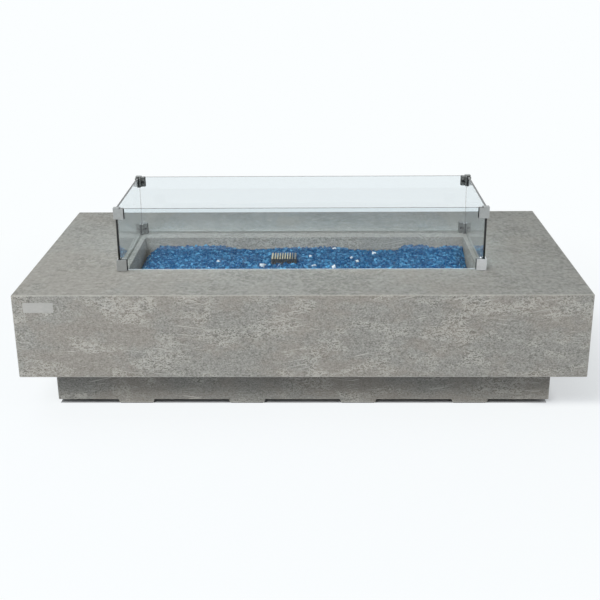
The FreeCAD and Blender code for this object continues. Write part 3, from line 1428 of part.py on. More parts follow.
def guard_angle(name, legs, inner, outer, levels, signs):
    """An L-shaped block round a corner of the guard, between two offsets and as long as its legs."""
    x_leg, x_inner, x_outer = (f"{GUARD_X} {offset}" for offset in (legs, inner, outer))
    y_leg, y_inner, y_outer = (f"{GUARD_Y} {offset}" for offset in (legs, inner, outer))
    across = guard_box(name + "_across", (x_leg, x_outer), (y_inner, y_outer), levels, *signs)
    along = guard_box(name + "_along", (x_inner, x_outer), (y_leg, y_outer), levels, *signs)
    return fuse(name, [across, along])


def make_clip_screw(name, axis, level, signs):
    """One screw through a clip's inner wall, with its socket, and the hole that takes it."""
    sign_x, sign_y = signs
    if axis == "y":
        x, y = f"{GUARD_X} - {CLIP_LEG} + clip_screw_inset", f"{FACE_Y} - liner - clip_inner"
    else:
        x, y = f"{FACE_X} - liner - clip_inner", f"{GUARD_Y} - {CLIP_LEG} + clip_screw_inset"
    spot = (f"guard_side_shift + {sign_x} * ({x})", f"guard_shift + {sign_y} * ({y})", level)
    index = "xyz".index(axis)
    sign = signs[index]
    depth = "(clip_screw_head_height / 2)"
    start, socket_start = list(spot), list(spot)
    if sign < 0:
        start[index] = f"{spot[index]} - clip_inner"
        socket_start[index] = f"{spot[index]} + {depth}"
    else:
        socket_start[index] = f"{spot[index]} - 2 * {depth}"
    solid = screw(f"{name}_solid_{axis}", "clip_screw", spot, axis, sign, "clip_inner")
    socket = hexagon(f"{name}_socket_{axis}", socket_start, axis, depth, "clip_screw_socket")
    bore = "clip_screw_diameter + 2 * fit_clearance"
    hole = rod(f"{name}_hole_{axis}", start, axis, "clip_inner", bore)
    return cut(f"{name}_screw_{axis}", solid, [socket]), hole


def make_clip_cap(name, inner, signs):
    """The square plate that joins a top clip's inner and outer walls over the panes' corner."""
    reach = [(f"{line} {inner}", f"{line} + {CLIP_EDGE}") for line in (GUARD_X, GUARD_Y)]
    return guard_box(name + "_cap", *reach, (GLASS_TOP, f"{GLASS_TOP} + clip_cap"), *signs)


def make_clips():
    """Eight corner clips, each two L-shaped walls with a slot for two panes between them, a liner and
    screws. A bottom clip's walls meet under the panes, and a top clip's in a cap on the corner."""
    liners = []
    screws = []
    feet = []
    for row, (low, high, slot_low) in CLIP_ROWS.items():
        clips = []
        for end, sign_y in ENDS:
            for side, sign_x in SIDES:
                name = f"guard_clip_{row}_{end}_{side}"
                signs = (sign_x, sign_y)
                inner = "- glass_thickness - liner - clip_inner"
                block = guard_angle(
                    name + "_block", f"- {CLIP_LEG}", inner, f"+ {CLIP_EDGE}", (low, high), signs
                )
                slot = guard_angle(
                    name + "_slot",
                    f"- {CLIP_LEG} - liner_lip",
                    "- glass_thickness - liner",
                    "+ liner",
                    (slot_low, high),
                    signs,
                )
                fixings = [make_clip_screw(name, axis, f"({low} + {high}) / 2", signs) for axis in "xy"]
                screws += [fixing for fixing, _ in fixings]
                clip = cut(name + "_angle", block, [slot, *(hole for _, hole in fixings)])
                if row == "top":
                    clip = fuse(name, [clip, make_clip_cap(name, inner, signs)])
                clips.append(clip)
                panes = [doc.getObject(f"guard_glass_{end}"), doc.getObject(f"guard_glass_{side}")]
                liners.append(cut(name + "_liner", slot, panes))
                if row == "bottom":
                    x = f"guard_side_shift + {sign_x} * ({GUARD_X} - glass_thickness / 2)"
                    y = f"guard_shift + {sign_y} * ({GUARD_Y} - glass_thickness / 2)"
                    feet.append(rod(name + "_foot", (x, y, TABLE_TOP), "z", "foot_height", "foot_diameter"))
        group(f"guard_clips_{row}", clips)
    group("guard_clip_liners", liners)
    group("guard_clip_screws", screws)
    group("guard_feet", feet)


def check_model():
    """Stops on a failed object, a bad shape, or a pocket that took nothing away."""
    for item in doc.Objects:
        if "Invalid" in item.State or "Error" in item.State:
            raise ValueError(f"{item.Name} failed: {item.State}")
        if item.TypeId == "PartDesign::Pocket" and not item.Shape.Volume < item.BaseFeature.Shape.Volume:
            raise ValueError(f"{item.Name} cuts nothing")
    for item in parts:
        if item.Shape.isNull() or not item.Shape.isValid() or not item.Shape.Solids:
            raise ValueError(f"{item.Label} has no valid solid")


make_table_shell()
make_plinth()
make_glides()
make_name_plate()
make_underside_panel()
make_frame()
make_frame_fasteners()
make_burner_pan()
make_pan_screws()
make_burner_tubes()
make_crossbar()
make_standoffs()
make_riser()
make_mixer_train()
make_pilot_hood()
make_pilot()
make_fire_glass()
make_control_box()
make_box_screws()
make_valve()
make_knob()
make_igniter()
make_gas_inlet()
make_lines()
make_glass()
make_clips()
doc.recompute()
check_model()

os.makedirs("parts", exist_ok=True)
for item in parts:
    item.Shape.exportStep(f"parts/{item.Label}.step")
print(len(parts), "sub-parts")
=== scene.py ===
import math

import bpy
import numpy as np
from mathutils import Matrix, Vector


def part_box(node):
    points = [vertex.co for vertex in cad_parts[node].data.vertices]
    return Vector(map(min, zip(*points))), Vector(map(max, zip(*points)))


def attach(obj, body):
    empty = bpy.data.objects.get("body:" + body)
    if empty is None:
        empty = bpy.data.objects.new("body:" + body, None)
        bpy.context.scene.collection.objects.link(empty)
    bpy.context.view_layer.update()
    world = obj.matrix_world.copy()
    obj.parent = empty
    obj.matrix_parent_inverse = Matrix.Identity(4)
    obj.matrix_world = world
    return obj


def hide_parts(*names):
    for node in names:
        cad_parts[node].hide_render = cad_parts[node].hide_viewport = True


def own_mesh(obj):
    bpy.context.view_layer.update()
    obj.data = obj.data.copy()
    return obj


bl_info = {
    "name": "Fire pit table",
    "version": (1, 0, 0),
    "blender": (4, 5, 0),
    "location": "3D View > Sidebar > Fire pit",
    "description": "Finishes a cast gas fire pit table with its bed of blue glass and its wind guard",
    "category": "Object",
}

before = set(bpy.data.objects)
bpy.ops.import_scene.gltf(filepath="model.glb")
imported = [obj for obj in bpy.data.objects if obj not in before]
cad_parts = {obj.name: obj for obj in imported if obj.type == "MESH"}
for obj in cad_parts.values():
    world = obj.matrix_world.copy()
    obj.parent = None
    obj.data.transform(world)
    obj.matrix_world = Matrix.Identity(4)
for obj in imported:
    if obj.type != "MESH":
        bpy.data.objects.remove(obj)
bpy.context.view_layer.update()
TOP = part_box("table_shell")[1].z
BED_LOW, BED_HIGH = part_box("fire_glass")
HOOD_LOW, HOOD_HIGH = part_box("pilot_hood")
KNOB_LOW, KNOB_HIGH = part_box("control_knob")


def ink(red, green, blue):
    """A colour as Blender's light-linear numbers, from the 0 to 255 values a screen shows."""
    values = np.array((red, green, blue)) / 255
    linear = np.where(values <= 0.04045, values / 12.92, ((values + 0.055) / 1.055) ** 2.4)
    return tuple(float(part) for part in linear)


def colour_setting(name, description, red, green, blue):
    """One colour of a finish that can be changed in the panel."""
    return bpy.props.FloatVectorProperty(
        name=name,
        description=description,
        subtype="COLOR",
        size=3,
        min=0,
        max=1,
        default=ink(red, green, blue),
    )


def length_setting(name, description, default):
    """One size in metres that can be changed in the panel."""
    return bpy.props.FloatProperty(
        name=name, description=description, subtype="DISTANCE", unit="LENGTH", min=0, default=default
    )


class FirePitColours(bpy.types.PropertyGroup):
    """The colours of the table's finishes."""

    cast_light: colour_setting("Cast, light", "Palest tone in the cast grain", 176, 175, 167)
    cast_middle: colour_setting("Cast, middle", "Main tone of the cast body", 151, 150, 144)
    cast_dark: colour_setting("Cast, dark", "Darkest tone in the cast grain", 120, 119, 112)
    cast_warm: colour_setting("Cast, warm", "Brownish patches in the cast body", 152, 142, 130)
    # Painted cool skylight tint on the upward faces of the cast
    cast_sky_tint: colour_setting("Cast, cool", "Fine dust on the upward faces", 154, 159, 158)
    # Also the colour of the painted highlight along each arris
    cast_fleck_and_highlight: colour_setting("Cast, fleck", "Pale flecks and scratches", 220, 218, 209)
    glass_deep: colour_setting("Fire glass, deep", "Darkest chips of the bed", 0, 82, 134)
    glass_bright: colour_setting("Fire glass, bright", "Lightest chips of the bed", 100, 180, 224)
    pane_tint: colour_setting("Pane", "Tint of the wind guard's panes", 238, 243, 245)
    clip_metal: colour_setting("Clip", "Satin metal of the corner clips", 174, 177, 176)
    hood_enamel: colour_setting("Pilot cage", "Enamel on the pilot's cage", 184, 180, 154)
    backdrop: colour_setting("Backdrop", "Floor and background", 251, 254, 255)


class FirePitSizes(bpy.types.PropertyGroup):
    """The sizes of what is added to the frame."""

    chip_size: length_setting("Chip size", "Middle size of a glass chip", 0.0098)
    chip_pitch: length_setting("Chip pitch", "Distance between neighbouring chips", 0.0068)
    streak_length: length_setting("Streak length", "Length of a streak in the cast grain", 0.034)
    streak_width: length_setting("Streak width", "Width of a streak in the cast grain", 0.0036)
    # Width of the painted highlight along an arris
    arris_width: length_setting("Arris wear", "Width of the worn line along an arris", 0.004)
    chip_seed: bpy.props.IntProperty(name="Chip seed", description="Which scatter of chips", default=7)


class Tree:
    """Adds nodes to a material or node group, each fed by plain values or by other nodes' sockets."""

    def __init__(self, tree):
        self.tree = tree
        tree.nodes.clear()

    def node(self, kind, feeds=(), **settings):
        item = self.tree.nodes.new("ShaderNode" + kind)
        for name, setting in settings.items():
            setattr(item, name, setting)
        for key, value in dict(feeds).items():
            self.feed(item.inputs[key], value)
        return item

    def feed(self, socket, value):
        if isinstance(value, bpy.types.NodeSocket):
            self.tree.links.new(value, socket)
        elif socket.type == "RGBA":
            socket.default_value = (*value, 1)
        else:
            socket.default_value = value

    def calc(self, operation, first, second=0.0, third=0.0):
        feeds = {0: first, 1: second, 2: third}
        return self.node("Math", feeds, operation=operation).outputs[0]

    def fade(self, value, start, end, low=0.0, high=1.0):
        feeds = {0: value, 1: start, 2: end, 3: low, 4: high}
        return self.node("MapRange", feeds, interpolation_type="SMOOTHSTEP").outputs[0]

    def blend(self, share, first, second, kind="MIX"):
        item = self.node("Mix", data_type="RGBA", blend_type=kind)
        for place, value in ((0, share), (6, first), (7, second)):
            self.feed(item.inputs[place], value)
        return item.outputs[2]

    def stretched(self, place, scale, turn=0.0):
        spans = tuple(1 / part for part in scale)
        feeds = {"Vector": place, "Scale": spans, "Rotation": (0, turn, 0)}
        return self.node("Mapping", feeds, vector_type="TEXTURE").outputs[0]

    def shifted(self, place, seed):
        return self.node("VectorMath", {0: place, 1: (seed, seed, seed)}, operation="ADD").outputs[0]

    def noise(self, place, scale=1.0, detail=4.0, roughness=0.55, distortion=0.0):
        feeds = {
            "Vector": place,
            "Scale": scale,
            "Detail": detail,
            "Roughness": roughness,
            "Distortion": distortion,
        }
        return self.node("TexNoise", feeds).outputs[0]

    def place(self):
        return self.node("TexCoord").outputs["Object"]

    def bump(self, height, distance, strength=1.0):
        feeds = {"Height": height, "Distance": distance, "Strength": strength}
        return self.node("Bump", feeds).outputs[0]


def group_tree(name, ins=(), outs=()):
    """An empty node group with its named sockets, its tree, its input sockets and its output node."""
    group = bpy.data.node_groups.new(name, "ShaderNodeTree")
    for label, kind, default in ins:
        socket = group.interface.new_socket(label, in_out="INPUT", socket_type="NodeSocket" + kind)
        socket.default_value = default
    for label, kind in outs:
        group.interface.new_socket(label, in_out="OUTPUT", socket_type="NodeSocket" + kind)
    tree = Tree(group)
    entry = group.nodes.new("NodeGroupInput")
    leave = group.nodes.new("NodeGroupOutput")
    return group, tree, entry.outputs, leave


def new_material(name):
    """A material with nodes, and its empty tree."""
    material = bpy.data.materials.new(name)
    material.use_nodes = True
    return material, Tree(material.node_tree)


def finish_of(name, build, **principled):
    """One Principled shader: build gives its linked sockets, principled its plain ones."""
    material, tree = new_material(name)
    shader = tree.node("BsdfPrincipled")
    for key, value in {**principled, **build(tree)}.items():
        tree.feed(shader.inputs[key.replace("_", " ")], value)
    tree.node("OutputMaterial", {"Surface": shader.outputs[0]})
    return material


def dress(material, *names):
    """Gives the named CAD nodes one finish."""
    for name in names:
        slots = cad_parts[name].data.materials
        slots.clear()
        slots.append(material)


def add_piece(name, points, faces, body, slot, material, replaced=()):
    """A new mesh piece with its place in its mesh, riding on a body."""
    mesh = bpy.data.meshes.new(name)
    mesh.from_pydata(points, [], faces)
    mesh.materials.append(material)
    piece = bpy.data.objects.new(name, mesh)
    bpy.context.scene.collection.objects.link(piece)
    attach(piece, body)
    if replaced:
        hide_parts(*replaced)
    return piece


# Cast body and plinth

# Layers of the grain: scale, detail, roughness and distortion of the noise, and weight in the tone
SLOW_LAYERS = (((2.4, 4.6, 4.6), 4, 0.6, 0.0, 0.12), ((14, 30, 30), 5, 0.62, 0.0, 0.22))
STREAK_LAYER = (3, 0.6, 0.0, 0.26)
FINE_LAYERS = (((120, 170, 170), 4, 0.72, 0.5, 0.95), ((215, 315, 315), 2, 0.6, 0.0, 1.36))
# Curls: scale, place in the noise and half width. Scratches: slant and place in the noise
CURLS = (((75, 115, 115), 0.0, 0.060), ((55, 190, 190), 5.3, 0.055))
SCRATCHES = ((0.12, 0.0), (-0.20, 3.7))
SCRATCH_SCALE = (9, 460, 460)
# A face whose normal's part along an axis is larger than this faces along it
FACING = 0.7
# A flat face has the pattern at this scale, with less contrast and fewer flecks
FLAT_SCALE = (0.44, 0.22, 1.0)
CONTRAST = 0.9
FLAT_LOSS = 0.2
FLECK_SHARE = 0.48
FLAT_FLECK_LOSS = 0.34
CLUSTER_DARKENING = 0.19
WARM_SHARE = 0.36
# Share of the painted cool skylight tint on upward faces
SKY_TINT_SHARE = 0.25
# Share of the painted highlight along each arris
HIGHLIGHT_SHARE = 0.28
# Painted shade: the value goes from its first number, darker under the body's overhang, to its second,
# lighter at the floor, between these heights
SHADE_TOP, SHADE_FOOT = 0.12, -0.03
BODY_SHADE = (1.0, 1.0)
PLINTH_SHADE = (0.64, 1.2)


def grain_group(sizes):
    """The cast grain: short fine streaks that follow the nearest edge over an even mottle, slow
    patches, pale curls in clusters and a few thin scratches. A streak is noise on places squeezed
    along the length, a curl is the line where a noise passes its middle value. On flat faces the
    whole pattern is larger."""
    outs = [("Tone", "Float"), ("Warmth", "Float"), ("Fleck", "Float"), ("Height", "Float")]
    group, tree, _, leave = group_tree("cast_grain", outs=outs)
    coordinates = tree.node("TexCoord")
    parts = tree.node("SeparateXYZ", {0: coordinates.outputs["Object"]}).outputs
    facing = tree.node("SeparateXYZ", {0: coordinates.outputs["Normal"]}).outputs
    end_face, flat_face = (
        tree.calc("GREATER_THAN", tree.calc("ABSOLUTE", facing[axis]), FACING) for axis in (0, 2)
    )
    turned = tree.node("CombineXYZ", {0: parts[1], 1: parts[0], 2: parts[2]}).outputs[0]
    place = tree.blend(end_face, coordinates.outputs["Object"], turned)
    place = tree.blend(flat_face, place, tree.stretched(place, FLAT_SCALE))
    along, across = 1 / sizes.streak_length, 1 / sizes.streak_width
    streaks = ((along, across, across), *STREAK_LAYER)
    layers = [
        (tree.noise(tree.stretched(place, scale), 1, detail, roughness, distortion), weight)
        for scale, detail, roughness, distortion, weight in (*SLOW_LAYERS, streaks, *FINE_LAYERS)
    ]
    tone = 0.5 - sum(weight for _, weight in layers) / 2
    for noise, weight in layers:
        tone = tree.calc("MULTIPLY_ADD", noise, weight, tone)
    contrast = tree.calc("MULTIPLY_ADD", flat_face, -FLAT_LOSS, CONTRAST)
    tone = tree.calc("MULTIPLY_ADD", tree.calc("SUBTRACT", tone, 0.5), contrast, 0.5)
    patch = tree.noise(tree.stretched(place, (4.2, 7.0, 7.0)), 1.2, 6, 0.66)
    warmth = tree.fade(patch, 0.42, 0.60)
    cluster = tree.noise(tree.stretched(place, (8, 14, 14)), 1, 4, 0.62)
    cluster = tree.fade(cluster, 0.48, 0.58)
    tone = tree.calc("MULTIPLY_ADD", cluster, -CLUSTER_DARKENING, tone)
    fleck = 0.0
    for scale, seed, edge in CURLS:
        swirl = tree.noise(tree.stretched(tree.shifted(place, seed), scale), 1, 2, 0.5, 0.9)
        curl = tree.fade(tree.calc("ABSOLUTE", tree.calc("SUBTRACT", swirl, 0.5)), edge, 0.3 * edge)
        fleck = tree.calc("MAXIMUM", fleck, curl)
    fleck = tree.calc("MULTIPLY", fleck, tree.calc("MULTIPLY_ADD", cluster, 0.94, 0.06))
    for slant, seed in SCRATCHES:
        shifted = tree.shifted(place, seed)
        line = tree.noise(tree.stretched(shifted, SCRATCH_SCALE, slant), 1, 1, 0.4)
        rare = tree.noise(shifted, 8, 2)
        scratch = tree.calc("MULTIPLY", tree.fade(line, 0.66, 0.70), tree.fade(rare, 0.57, 0.61))
        fleck = tree.calc("MAXIMUM", fleck, tree.calc("MULTIPLY", scratch, 1.3))
    coarse, fine = layers[-2][0], layers[-1][0]
    height = tree.calc("MULTIPLY_ADD", fine, 0.5, tree.calc("MULTIPLY", coarse, 0.8))
    height = tree.calc("MULTIPLY_ADD", fleck, 0.2, height)
    for label, value in (("Tone", tone), ("Warmth", warmth), ("Fleck", fleck), ("Height", height)):
        tree.feed(leave.inputs[label], value)
    return group


def arris_group(name, low, high):
    """How near a point is to an edge of a box: the middle one of its distances to the three nearest
    faces is small at an edge and large elsewhere. The low face below the box doesn't count."""
    group, tree, ins, leave = group_tree(name, [("Width", "Float", 0.004)], [("Highlight", "Float")])
    parts = tree.node("SeparateXYZ", {0: tree.place()}).outputs
    gaps = []
    for part, start, end in zip(parts, low, high):
        gap = tree.calc("ABSOLUTE", tree.calc("SUBTRACT", part, (start + end) / 2))
        gaps.append(tree.calc("ABSOLUTE", tree.calc("SUBTRACT", gap, (end - start) / 2)))
    smaller = tree.calc("MINIMUM", gaps[0], gaps[1])
    larger = tree.calc("MAXIMUM", gaps[0], gaps[1])
    middle = tree.calc("MAXIMUM", smaller, tree.calc("MINIMUM", larger, gaps[2]))
    share = tree.calc("DIVIDE", middle, ins["Width"])
    # The painted highlight along each edge
    tree.feed(leave.inputs["Highlight"], tree.fade(share, 1.0, 0.2))
    return group


def cast_finish(name, colours, sizes, grain, arris, value):
    """Cast body: grain tones, warm patches, pale flecks, a painted highlight along each arris and a
    painted cool skylight tint on upward faces.
    The value paints shade: it goes from its first number under the body to its second at the floor."""

    def build(tree):
        marks = tree.node("Group", node_tree=grain).outputs
        highlight = tree.node("Group", node_tree=arris)
        tree.feed(highlight.inputs["Width"], sizes.arris_width)
        upright = tree.node("SeparateXYZ", {0: tree.node("TexCoord").outputs["Normal"]}).outputs[2]
        upward = tree.calc("GREATER_THAN", upright, FACING)
        low = tree.blend(tree.fade(marks["Tone"], 0.20, 0.52), colours.cast_dark, colours.cast_middle)
        tone = tree.blend(tree.fade(marks["Tone"], 0.48, 0.85), low, colours.cast_light)
        warm_share = tree.calc("MULTIPLY", marks["Warmth"], WARM_SHARE)
        warm = tree.blend(warm_share, tone, colours.cast_warm)
        # Painted cool skylight tint on the upward faces
        warm = tree.blend(tree.calc("MULTIPLY", upward, SKY_TINT_SHARE), warm, colours.cast_sky_tint)
        fleck_share = tree.calc("MULTIPLY_ADD", upward, -FLAT_FLECK_LOSS, FLECK_SHARE)
        fleck_share = tree.calc("MULTIPLY", marks["Fleck"], fleck_share)
        flecked = tree.blend(fleck_share, warm, colours.cast_fleck_and_highlight)
        # Painted highlight along each arris, in the fleck colour
        highlighted = tree.blend(tree.calc("MULTIPLY", highlight.outputs[0], HIGHLIGHT_SHARE), flecked, colours.cast_fleck_and_highlight)
        height = tree.node("SeparateXYZ", {0: tree.place()}).outputs[2]
        # Painted shade: darker under the body's overhang, lighter towards the floor
        painted_light = tree.fade(height, SHADE_TOP, SHADE_FOOT, *value)
        shade = tree.node("HueSaturation", {"Value": painted_light, "Color": highlighted}).outputs[0]
        return {
            "Base_Color": shade,
            "Roughness": tree.fade(marks["Tone"], 0.1, 0.9, 0.92, 0.74),
            "Normal": tree.bump(marks["Height"], 0.0006, 0.6),
        }

    return finish_of(name, build, Specular_IOR_Level=0.35)


class FIREPIT_OT_cast(bpy.types.Operator):
    """Finishes the cast body and the plinth"""

    bl_idname = "firepit.cast"
    bl_label = "Cast body and plinth"

    def execute(self, context):
        colours, sizes = context.scene.fire_pit_colours, context.scene.fire_pit_sizes
        grain = grain_group(sizes)
        for node, name, value in (
            ("table_shell", "cast_body", BODY_SHADE),
            ("plinth_shell", "cast_plinth", PLINTH_SHADE),
        ):
            arris = arris_group(name + "_arris", *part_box(node))
            dress(cast_finish(name, colours, sizes, grain, arris, value), node)
        return {"FINISHED"}


# Metals, plastics and rubber

# The middle and the half size of the painted groove in the knob's face
POINTER_PLACE = (
    KNOB_HIGH.x - 0.0007,
    (KNOB_LOW.y + KNOB_HIGH.y) / 2,
    (KNOB_LOW.z + KNOB_HIGH.z) / 2 + 0.014,
)
POINTER_HALF = (0.0004, 0.0012, 0.0045)
POINTER_PAINT = ink(226, 226, 222)
# Darkening on the pilot cage, where it starts and is full: painted shade down from the roof, and soot in
# from the flame's end
SHADE_DOWN = (0.003, 0.016)
SOOT_IN = (0.017, 0.010)


def pointer_groove(tree, place):
    """1 inside the groove of the knob's pointer, which is filled with pale paint."""
    parts = tree.node("SeparateXYZ", {0: place}).outputs
    inside = [
        tree.calc("COMPARE", part, middle, half)
        for part, middle, half in zip(parts, POINTER_PLACE, POINTER_HALF)
    ]
    return tree.calc("MULTIPLY", tree.calc("MULTIPLY", inside[0], inside[1]), inside[2])


def worn_finish(
    name,
    colour,
    roughness,
    metallic=0.0,
    brush=(90, 90, 90),
    depth=0.00004,
    spread=0.12,
    painted=None,
    **more,
):
    """A finish with fine brushed or moulded grain and slow blotches in tone and gloss, with pale paint
    where painted says."""

    def build(tree):
        place = tree.place()
        fine = tree.noise(tree.stretched(place, brush), 10, 3, 0.6)
        slow = tree.noise(place, 17, 4, 0.6)
        light = tuple(min(1.0, part * (1 + spread)) for part in colour)
        dark = tuple(part * (1 - spread) for part in colour)
        mixed = tree.calc("MULTIPLY_ADD", fine, 0.5, tree.calc("MULTIPLY", slow, 0.5))
        base = tree.blend(tree.fade(mixed, 0.3, 0.7), dark, light)
        if painted:
            base = tree.blend(painted(tree, place), base, POINTER_PAINT)
        return {
            "Base_Color": base,
            "Roughness": tree.fade(mixed, 0.3, 0.7, roughness * 1.15, roughness * 0.85),
            "Normal": tree.bump(fine, depth, 0.6),
        }

    return finish_of(name, build, Metallic=metallic, **more)


def soot_and_shade_finish(name, colour, roof):
    """Enamel on the pilot cage with brown spots: clean on the roof, its walls, slots and lower part
    painted dark as shade, and blackened by soot towards the flame's end."""

    def build(tree):
        coordinates = tree.node("TexCoord")
        place = coordinates.outputs["Object"]
        upright = tree.node("SeparateXYZ", {0: coordinates.outputs["Normal"]}).outputs[2]
        along, _, height = tree.node("SeparateXYZ", {0: place}).outputs
        soot = tree.noise(tree.stretched(place, (90, 90, 60)), 1, 5, 0.65)
        grain = tree.noise(place, 900, 3)
        # Painted shade on the walls and the lower part, and soot towards the flame's end
        wall = tree.fade(upright, 0.75, 0.35)
        low = tree.fade(height, *(roof - down for down in SHADE_DOWN))
        flame_side = tree.fade(along, *(HOOD_HIGH.x - inward for inward in SOOT_IN), 0.0, 0.85)
        soot_and_shade = tree.calc("MAXIMUM", tree.calc("MAXIMUM", wall, low), flame_side)
        soot_and_shade = tree.calc("MULTIPLY", soot_and_shade, tree.fade(soot, 0.30, 0.50, 0.72, 1.0))
        spots = tree.blend(tree.fade(soot, 0.52, 0.70, 0.0, 0.7), colour, ink(120, 106, 84))
        return {
            "Base_Color": tree.blend(soot_and_shade, spots, ink(60, 68, 75)),
            "Roughness": tree.fade(soot, 0.3, 0.7, 0.42, 0.65),
            "Normal": tree.bump(grain, 0.0001, 0.5),
        }

    return finish_of(name, build)


def braid_finish(name, colour, dark):
    """Woven sleeve: two sets of diagonal threads, one over the other."""

    def build(tree):
        place = tree.place()
        first = tree.node("TexWave", {"Vector": tree.stretched(place, (1, 1, 1), 0.7), "Scale": 170})
        second = tree.node("TexWave", {"Vector": tree.stretched(place, (1, 1, 1), -0.7), "Scale": 170})
        weave = tree.calc("MAXIMUM", first.outputs[1], second.outputs[1])
        speck = tree.noise(place, 400, 3)
        thread = tree.calc("MULTIPLY", weave, tree.fade(speck, 0.2, 0.6))
        return {
            "Base_Color": tree.blend(thread, dark, colour),
            "Normal": tree.bump(weave, 0.0003, 0.7),
        }

    return finish_of(name, build, Roughness=0.55)


class FIREPIT_OT_frame(bpy.types.Operator):
    """Finishes the steel frame, the underside panel, its fasteners and the glides"""

    bl_idname = "firepit.steel_frame"
    bl_label = "Frame and underside"

    def execute(self, context):
        board = worn_finish("panel_board", ink(104, 100, 94), 0.85, 0.0, (6, 60, 60), 0.0002, 0.2)
        paint = worn_finish("frame_paint", ink(38, 39, 41), 0.45, 0.0, (60, 60, 60), 0.0001, 0.25)
        zinc = worn_finish("zinc_plate", ink(178, 180, 182), 0.34, 1.0, (30, 30, 30), spread=0.18)
        rubber = worn_finish("glide_rubber", ink(28, 28, 29), 0.7, brush=(70, 70, 70), spread=0.3)
        dress(board, "underside_panel")
        dress(paint, "frame_rails", "frame_crosses", "frame_posts")
        dress(zinc, "top_inserts", "frame_bolts", "plinth_nuts")
        dress(rubber, "plinth_glides")
        return {"FINISHED"}


class FIREPIT_OT_name_plate(bpy.types.Operator):
    """Finishes the bare plate on the front"""

    bl_idname = "firepit.name_plate"
    bl_label = "Bare plate"

    def execute(self, context):
        steel = worn_finish("brushed_plate", ink(181, 180, 175), 0.5, 0.3, (6, 60, 160), 0.0001, 0.12)
        dress(steel, "name_plate")
        return {"FINISHED"}


class FIREPIT_OT_burner(bpy.types.Operator):
    """Finishes the burner, its pan and the fittings under it"""

    bl_idname = "firepit.burner"
    bl_label = "Burner and pan"

    def execute(self, context):
        steel = worn_finish("pan_steel", ink(190, 190, 188), 0.30, 1.0, (6, 120, 120), 0.00004, 0.10)
        iron = worn_finish("black_iron", ink(52, 51, 50), 0.6, 0.4, (40, 40, 40), 0.0002, 0.3)
        brass = worn_finish("burner_brass", ink(196, 160, 92), 0.28, 1.0, (50, 50, 50), spread=0.14)
        zinc = worn_finish("screw_zinc", ink(182, 184, 186), 0.32, 1.0, (30, 30, 30), spread=0.18)
        dress(steel, "burner_pan", "burner_standoffs")
        dress(steel, "burner_tube_front", "burner_tube_rear", "burner_crossbar")
        dress(iron, "burner_riser", "burner_elbow")
        dress(brass, "burner_locknuts", "air_mixer", "gas_orifice")
        dress(zinc, "pan_screws")
        return {"FINISHED"}


class FIREPIT_OT_pilot(bpy.types.Operator):
    """Finishes the pilot, its bracket and its slotted cage"""

    bl_idname = "firepit.pilot"
    bl_label = "Pilot and cage"

    def execute(self, context):
        colours = context.scene.fire_pit_colours
        dress(soot_and_shade_finish("cage_enamel", colours.hood_enamel, HOOD_HIGH.z), "pilot_hood")
        steel = worn_finish("pilot_steel", ink(168, 164, 156), 0.36, 1.0, (60, 60, 60), spread=0.2)
        dress(steel, "pilot_bracket", "pilot_burner")
        copper = worn_finish("sensor_copper", ink(186, 120, 84), 0.34, 1.0, (60, 60, 60), spread=0.2)
        dress(copper, "thermocouple", "pilot_line")
        ceramic = worn_finish("ceramic_white", ink(228, 224, 214), 0.25, brush=(50, 50, 50), spread=0.05)
        dress(ceramic, "spark_electrode")
        return {"FINISHED"}


SPRING_WIRE = 0.001


def coil_mesh(low, high, turns, steps=28, sides=8):
    """A compression spring that fills its box: a circle of wire carried along a helix about X, each
    ring standing in the plane of the helix's radius and X, and each end closed by a fan."""
    radius = (high.y - low.y - SPRING_WIRE) / 2
    count = turns * steps + 1
    angle = np.linspace(0, 2 * np.pi * turns, count)
    outward = np.stack([0 * angle, np.cos(angle), np.sin(angle)], -1)
    path = outward * radius + np.array([0, (low.y + high.y) / 2, (low.z + high.z) / 2])
    path[:, 0] = np.linspace(low.x + SPRING_WIRE / 2, high.x - SPRING_WIRE / 2, count)
    around = np.arange(sides) * 2 * np.pi / sides
    spread, rise = np.cos(around)[None, :, None], np.sin(around)[None, :, None]
    ring = spread * outward[:, None, :] - rise * np.eye(3)[0]
    points = np.concatenate([(path[:, None, :] + ring * SPRING_WIRE / 2).reshape(-1, 3), path[[0, -1]]])
    first = np.arange((count - 1) * sides).reshape(-1, sides)
    after = np.roll(first, -1, axis=1)
    walls = np.stack([first, after, after + sides, first + sides], -1).reshape(-1, 4)
    start, end = np.arange(sides), np.arange(sides) + (count - 1) * sides
    fans = [
        np.stack([np.full(sides, count * sides), np.roll(start, -1), start], -1),
        np.stack([np.full(sides, count * sides + 1), end, np.roll(end, -1)], -1),
    ]
    return points, walls.tolist() + np.concatenate(fans).tolist()


def add_spring(node, turns, material):
    """A return spring in place of the plain one."""
    low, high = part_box(node)
    mesh = coil_mesh(low, high, turns)
    coil = add_piece(node + "_coil", *mesh, "table", "spring_steel", material, [node])
    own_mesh(coil)


